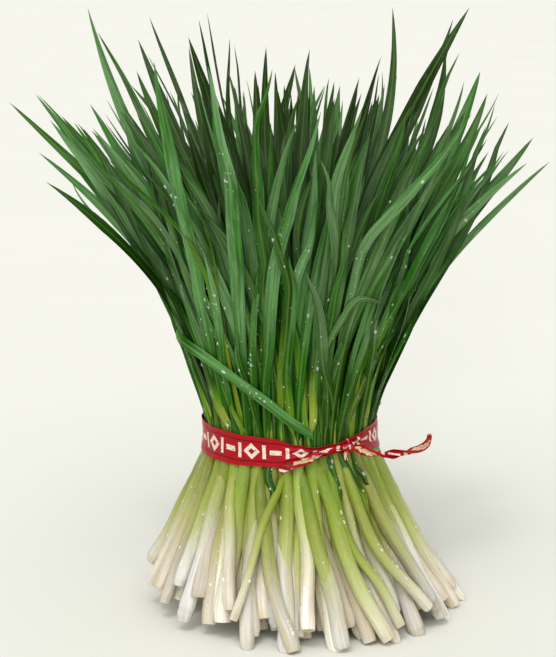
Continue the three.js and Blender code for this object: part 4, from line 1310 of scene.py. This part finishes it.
# %% [markdown]
# ## The band of tape
#
# The band lies flat at the sides and back and is gathered towards the knot from both sides. A plain
# extruded ring would look like a collar, so the strip is lofted with its own pleats: where it gets
# narrower, the spare width goes into folds, exactly as the real strip has to do.

# %% Where the tape runs
TIE_WIDTH, TIE_THICKNESS, CORD_WIDTH, KNOT_TURN = 17, 0.9, 5, 38
FILM = 0.28  # the film's own thickness, drawn thicker than it is so that its edges show
# at each turn: how far its middle rises, its width and how thick it is with its pleats
TAPE = np.array([
    (-90, 0.5, TIE_WIDTH, TIE_THICKNESS), (-48, 1, TIE_WIDTH, TIE_THICKNESS), (-10, 0.5, 15, TIE_THICKNESS),
    (4, 0.4, 9, 1.6), (15, 0.6, CORD_WIDTH, 2.2), (KNOT_TURN - 8, 2, CORD_WIDTH, 3),
    (KNOT_TURN, 2.6, 7.5, 5.5), (KNOT_TURN + 8, 3.4, 8, 2.2), (60, 3.2, 12, 1.2),
    (82, 1.5, TIE_WIDTH - 1, TIE_THICKNESS), (180, 0, TIE_WIDTH, TIE_THICKNESS),
    (270, 0.5, TIE_WIDTH, TIE_THICKNESS),
])


def tape_at(turn):
    """Rise of the middle, width and thickness of the tape at these turns."""
    here = -90 + (turn + 90) % 360
    step = np.clip(np.searchsorted(TAPE[:, 0], here, side="right") - 1, 0, len(TAPE) - 2)
    low, high = TAPE[step], TAPE[step + 1]
    share = smooth((here - low[:, 0]) / (high[:, 0] - low[:, 0]), 0, 1)[:, None]
    return (low + (high - low) * share)[:, 1:].T


def on_tape(turn, rise, depth):
    """A point this far outside the inner face of the tape."""
    turn = np.asarray(turn, float)
    out = np.stack([np.sin(np.radians(turn)), -np.cos(np.radians(turn)), 0 * turn], -1)
    return place(1, turn, rise) + out * (0.5 + np.asarray(depth, float))[..., None]


print("round the tape, mm:", round(travelled(on_tape(np.arange(361), 0, 0))[-1]))


# %% A thin film over a grid of points
def strip(skin, grid, along, across):
    """Adds a thin film over a grid (stations, rows, 3): its printed face, its back and its edges."""
    rows = grid.shape[1]
    normal = unit(np.cross(np.gradient(grid, axis=0), np.gradient(grid, axis=1)))
    front, back = grid + normal * FILM / 2, grid - normal * FILM / 2
    rings = np.concatenate([front, back[:, ::-1]], axis=1)
    stations, sides = rings.shape[:2]
    values = np.zeros(rings.shape)
    values[:, rows:, 2] = 1
    base = skin.wrap(rings, along, np.concatenate([across, across[::-1], across[:1]]), values)
    for end in (0, stations - 1):
        for k in range(rows - 1):
            a = base + end * sides
            quad = (a + k, a + k + 1, a + sides - 2 - k, a + sides - 1 - k)
            skin.faces.append(quad if end else quad[::-1])
            skin.uvs += [(along[end], across[k])] * 4


print("the film, mm thick:", FILM)

# %% The gathered band
PLEATS = 2.6  # folds across the strip where it is gathered


def gathered_band(skin, from_turn, to_turn, stations, rows=29):
    """The strip round the bunch, pleated wherever it is narrower than its full width."""
    turn = np.linspace(from_turn, to_turn, stations)
    rise, width, thickness = tape_at(turn)
    share = np.linspace(-0.5, 0.5, rows)
    run = travelled(on_tape(turn, rise, 0 * turn))
    gathered = np.clip(1 - width / TIE_WIDTH, 0, 1)
    up = share[None] * width[:, None]
    pleat = 0.5 - 0.5 * np.cos(2 * np.pi * PLEATS * share[None] + 0.9 * np.sin(run / 9)[:, None] + 0.6)
    depth = 0.25 + (thickness[:, None] - 0.45) * pleat * smooth(gathered, 0.02, 0.4)[:, None]
    # the strip is never quite flat: slack waves along it and a lifted lower edge
    slack = 0.16 * np.sin(run / 5.3 + 1.1)[:, None] * np.sin(2.2 * np.pi * share[None] + 0.6)
    slack = slack + 0.1 * np.sin(run / 2.1)[:, None] * np.cos(3 * np.pi * share[None] + run[:, None] / 11)
    depth = np.maximum(depth + slack + 0.25, 0.12)
    wave = 0.35 * np.sin(run / 13 + 0.5)[:, None] + 0.15 * np.sin(run / 3.7)[:, None]
    flat_turn = np.broadcast_to(turn[:, None], up.shape)
    grid = on_tape(flat_turn, rise[:, None] + up + wave * (1 - gathered[:, None]), depth)
    strip(skin, grid, run, share * TIE_WIDTH)


tape_skin = Skin()
gathered_band(tape_skin, KNOT_TURN + 1, KNOT_TURN + 359, stations=420)
band = tape_skin.build("tape_band", tape_finish)
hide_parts("tie")
print("band faces:", len(band.data.polygons), "size in mm:", [round(1000 * v, 1) for v in band.dimensions])

# %% [markdown]
# ## The twisted ends and the knot
#
# In front, the strip folds over at its lower corner and is twisted into a cord that rises to the
# knot; beyond the knot the loose end stands out stiffly and hooks up. Twisted tape shows its red
# face, its cream back and its edges in turn. So the cord isn't a tube: it is the same film, folded
# into pleats and turned about its own path. Two pleated turns wrapped round it make the knot.


# %% Twisted tape
def twisted_tape(skin, path, width, thickness, turns, start, along_from, rows=25):
    """The strip gathered into pleats across its width and twisted about the path."""
    t = np.linspace(0, 1, len(path))
    run = travelled(path)
    along = unit(np.gradient(path, axis=0))
    deep = unit(np.array([0, 1, 0]) - along * along[:, 1:2])
    up = np.cross(along, deep)
    angle = start + 2 * np.pi * turns * t
    width = np.broadcast_to(width, t.shape)
    thickness = np.broadcast_to(thickness, t.shape)
    share = np.linspace(-0.5, 0.5, rows)
    x = share[None] * width[:, None]
    fold = 0.5 * thickness[:, None] * np.cos(2 * np.pi * 1.45 * share[None] + 0.5 * np.sin(run / 4)[:, None])
    fold = fold + 0.12 * np.sin(run / 1.3)[:, None] * np.cos(9 * share[None])
    cosine, sine = np.cos(angle)[:, None], np.sin(angle)[:, None]
    a, b = x * cosine - fold * sine, x * sine + fold * cosine
    grid = path[:, None] + up[:, None] * a[:, :, None] - deep[:, None] * b[:, :, None]
    strip(skin, grid, along_from + run, share * TIE_WIDTH)


knot_centre = on_tape(KNOT_TURN, 2.6, 2.5)
print("the middle of the knot:", knot_centre.round(1).tolist())

# %% The front twist, the tail and the stub
front_points = [
    on_tape(-7, -8.6, 1.6), on_tape(1, -5.9, 2.2), on_tape(9, -3, 2.4), on_tape(18, 0.4, 2.4),
    on_tape(29, 2.4, 2.6), knot_centre,
]
tail_points = [knot_centre, (30, -41, 95.4), (42, -40, 93.8), (52, -39, 94.5), (60.5, -38, 98), (63, -38, 104)]
stub_points = [knot_centre, on_tape(KNOT_TURN - 2, -1, 3), on_tape(KNOT_TURN - 3, -4.5, 3.4)]
t_front, t_tail = np.linspace(0, 1, 90), np.linspace(0, 1, 110)
tail_width = 3.8 + 1.0 * np.sin(np.pi * t_tail) - 0.6 * smooth(t_tail, 0.6, 0.85) + 1.3 * smooth(t_tail, 0.93, 1)
# each: its points and stations, then width, thickness, turns, first angle, where the print starts, and rows
TWISTS = {
    "tape_front_twist": (front_points, 90, 4.4 - 0.6 * t_front, 2.4 - 0.2 * t_front, 1.1, 0.3, 0, 25),
    "tape_tail": (tail_points, 110, tail_width, 2.3, 1.6, 0.9, 40, 25),
    "tape_stub": (stub_points, 20, 3.2, 1.4, 0.3, 2.6, 0, 13),
}
twisted_pieces = []
for name, (points, stations, *shape) in TWISTS.items():
    skin = Skin()
    twisted_tape(skin, smooth_curve(points, stations), *shape)
    twisted_pieces.append(skin.build(name, tape_finish))
print("the tail, mm long:", round(travelled(smooth_curve(tail_points, 110))[-1]))


# %% The knot
def wrapped_loop(skin, centre, axis, radius, width, turns, start, seed):
    """A pleated turn of tape wrapped round the cord where it is knotted."""
    axis = unit(np.asarray(axis, float))
    first = unit(np.cross(axis, (0.0, 1.0, 0.0)))
    second = np.cross(axis, first)
    count, rows = 48, 15
    angle = np.radians(start) + np.linspace(0, 2 * np.pi * turns, count)
    share = np.linspace(-0.5, 0.5, rows)
    size = radius[0] + 0.25 * np.sin(3 * angle + seed)
    deep = radius[1] + 0.2 * np.cos(2 * angle + seed)
    ring = first * (size * np.cos(angle))[:, None] + second * (deep * np.sin(angle))[:, None]
    bulge = 0.45 * np.cos(2 * np.pi * 1.5 * share + seed)
    sideways = share[None] * width + 0.5 * np.sin(angle + seed)[:, None]
    grid = centre + ring[:, None] + axis * sideways[:, :, None] + unit(ring)[:, None] * bulge[None, :, None]
    strip(skin, grid, travelled(ring) + 7 * seed, share * TIE_WIDTH)


knot_skin = Skin()
wrapped_loop(knot_skin, knot_centre + (0.3, 0, 0.2), (1, 0, 0.35), (3.3, 2.5), 3.4, 1.02, 20, 0.4)
wrapped_loop(knot_skin, knot_centre + (-0.8, -0.2, 0.0), (0.75, 0, -0.55), (2.9, 2.3), 2.8, 1.02, 200, 1.7)
twisted_pieces.append(knot_skin.build("tape_knot", tape_finish))
for piece in twisted_pieces:
    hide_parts("tie")
print("twisted pieces:", [piece.name for piece in twisted_pieces])

# %% [markdown]
# ## Floor, light and camera
#
# The bunch stands on a plain pale board under soft light from a wide sky and two broad lamps, so the
# shadows stay faint and the gaps between the leaves go dark by themselves. Two narrow lamps add the
# small bright glints on wet skin, which broad ones can't. All four are sun lamps rather than area
# lamps, because their light is even over the whole floor.

# %% Floor
FLOOR_REACH = 30.0  # metres to each side, so that its edge is never seen
floor_mesh = bpy.data.meshes.new("floor")
corners = [(FLOOR_REACH * x, FLOOR_REACH * y, 0) for x, y in ((-1, -1), (1, -1), (1, 1), (-1, 1))]
floor_mesh.from_pydata(corners, [], [(0, 1, 2, 3)])
floor = bpy.data.objects.new("floor", floor_mesh)
bpy.context.scene.collection.objects.link(floor)
floor_finish, tree, skin = finish_named("matt_white_board")
grain = add(tree, "TexNoise", {"Scale": 300.0, "Detail": 2.0})
board = add(tree, "MapRange", {"Value": grain, "To Min": 0.98, "To Max": 1.02})
pale = add(tree, "VectorMath", (linear("e6e6de")[:3], board), operation="MULTIPLY")
feed(tree, skin, {"Base Color": pale, "Roughness": 0.9, "Specular IOR Level": 0.1})
floor_mesh.materials.append(floor_finish)
floor.location = (0, 0, -0.0002)
print("floor, metres across:", 2 * FLOOR_REACH)

# %% Light
world = bpy.data.worlds.new("soft_sky")
bpy.context.scene.world = world
world.use_nodes = True
feed(world.node_tree, world.node_tree.nodes["Background"], {"Color": linear("fdfdfb"), "Strength": 0.7})
# each sun lamp: the direction it shines from, its strength, and how wide it is in degrees
LAMPS = {
    "key": ((-0.32, -0.95, 1.05), 0.9, 50),
    "second": ((0.12, -1.0, 1.0), 0.54, 54),
    "glint": ((-0.15, -0.7, 1.0), 0.5, 8),
    "low_glint": ((-0.12, -1.0, 0.28), 0.4, 8),
}
for name, (direction, strength, angle) in LAMPS.items():
    lamp = bpy.data.lights.new(name, "SUN")
    lamp.energy, lamp.angle = strength, math.radians(angle)
    light = bpy.data.objects.new(name, lamp)
    light.rotation_euler = Vector(direction).to_track_quat("Z", "Y").to_euler()
    bpy.context.scene.collection.objects.link(light)
print("lamps:", list(LAMPS))

# %% Camera
VIEW_ANGLE = 17.6  # degrees
AIM = Vector((-0.016, 0, 0.152))
camera_data = bpy.data.cameras.new("camera")
camera = bpy.data.objects.new("camera", camera_data)
bpy.context.scene.collection.objects.link(camera)
camera.location = (-0.016, -1.105, 0.391)
camera.rotation_euler = (AIM - camera.location).to_track_quat("-Z", "Y").to_euler()
camera_data.sensor_width = 36
camera_data.lens = camera_data.sensor_width / 2 / math.tan(math.radians(VIEW_ANGLE / 2))
camera_data.clip_start, camera_data.clip_end = 0.05, 100
bpy.context.scene.camera = camera
bpy.context.scene.view_settings.view_transform = "Standard"
print("the camera stands", round((AIM - camera.location).length, 2), "m away")
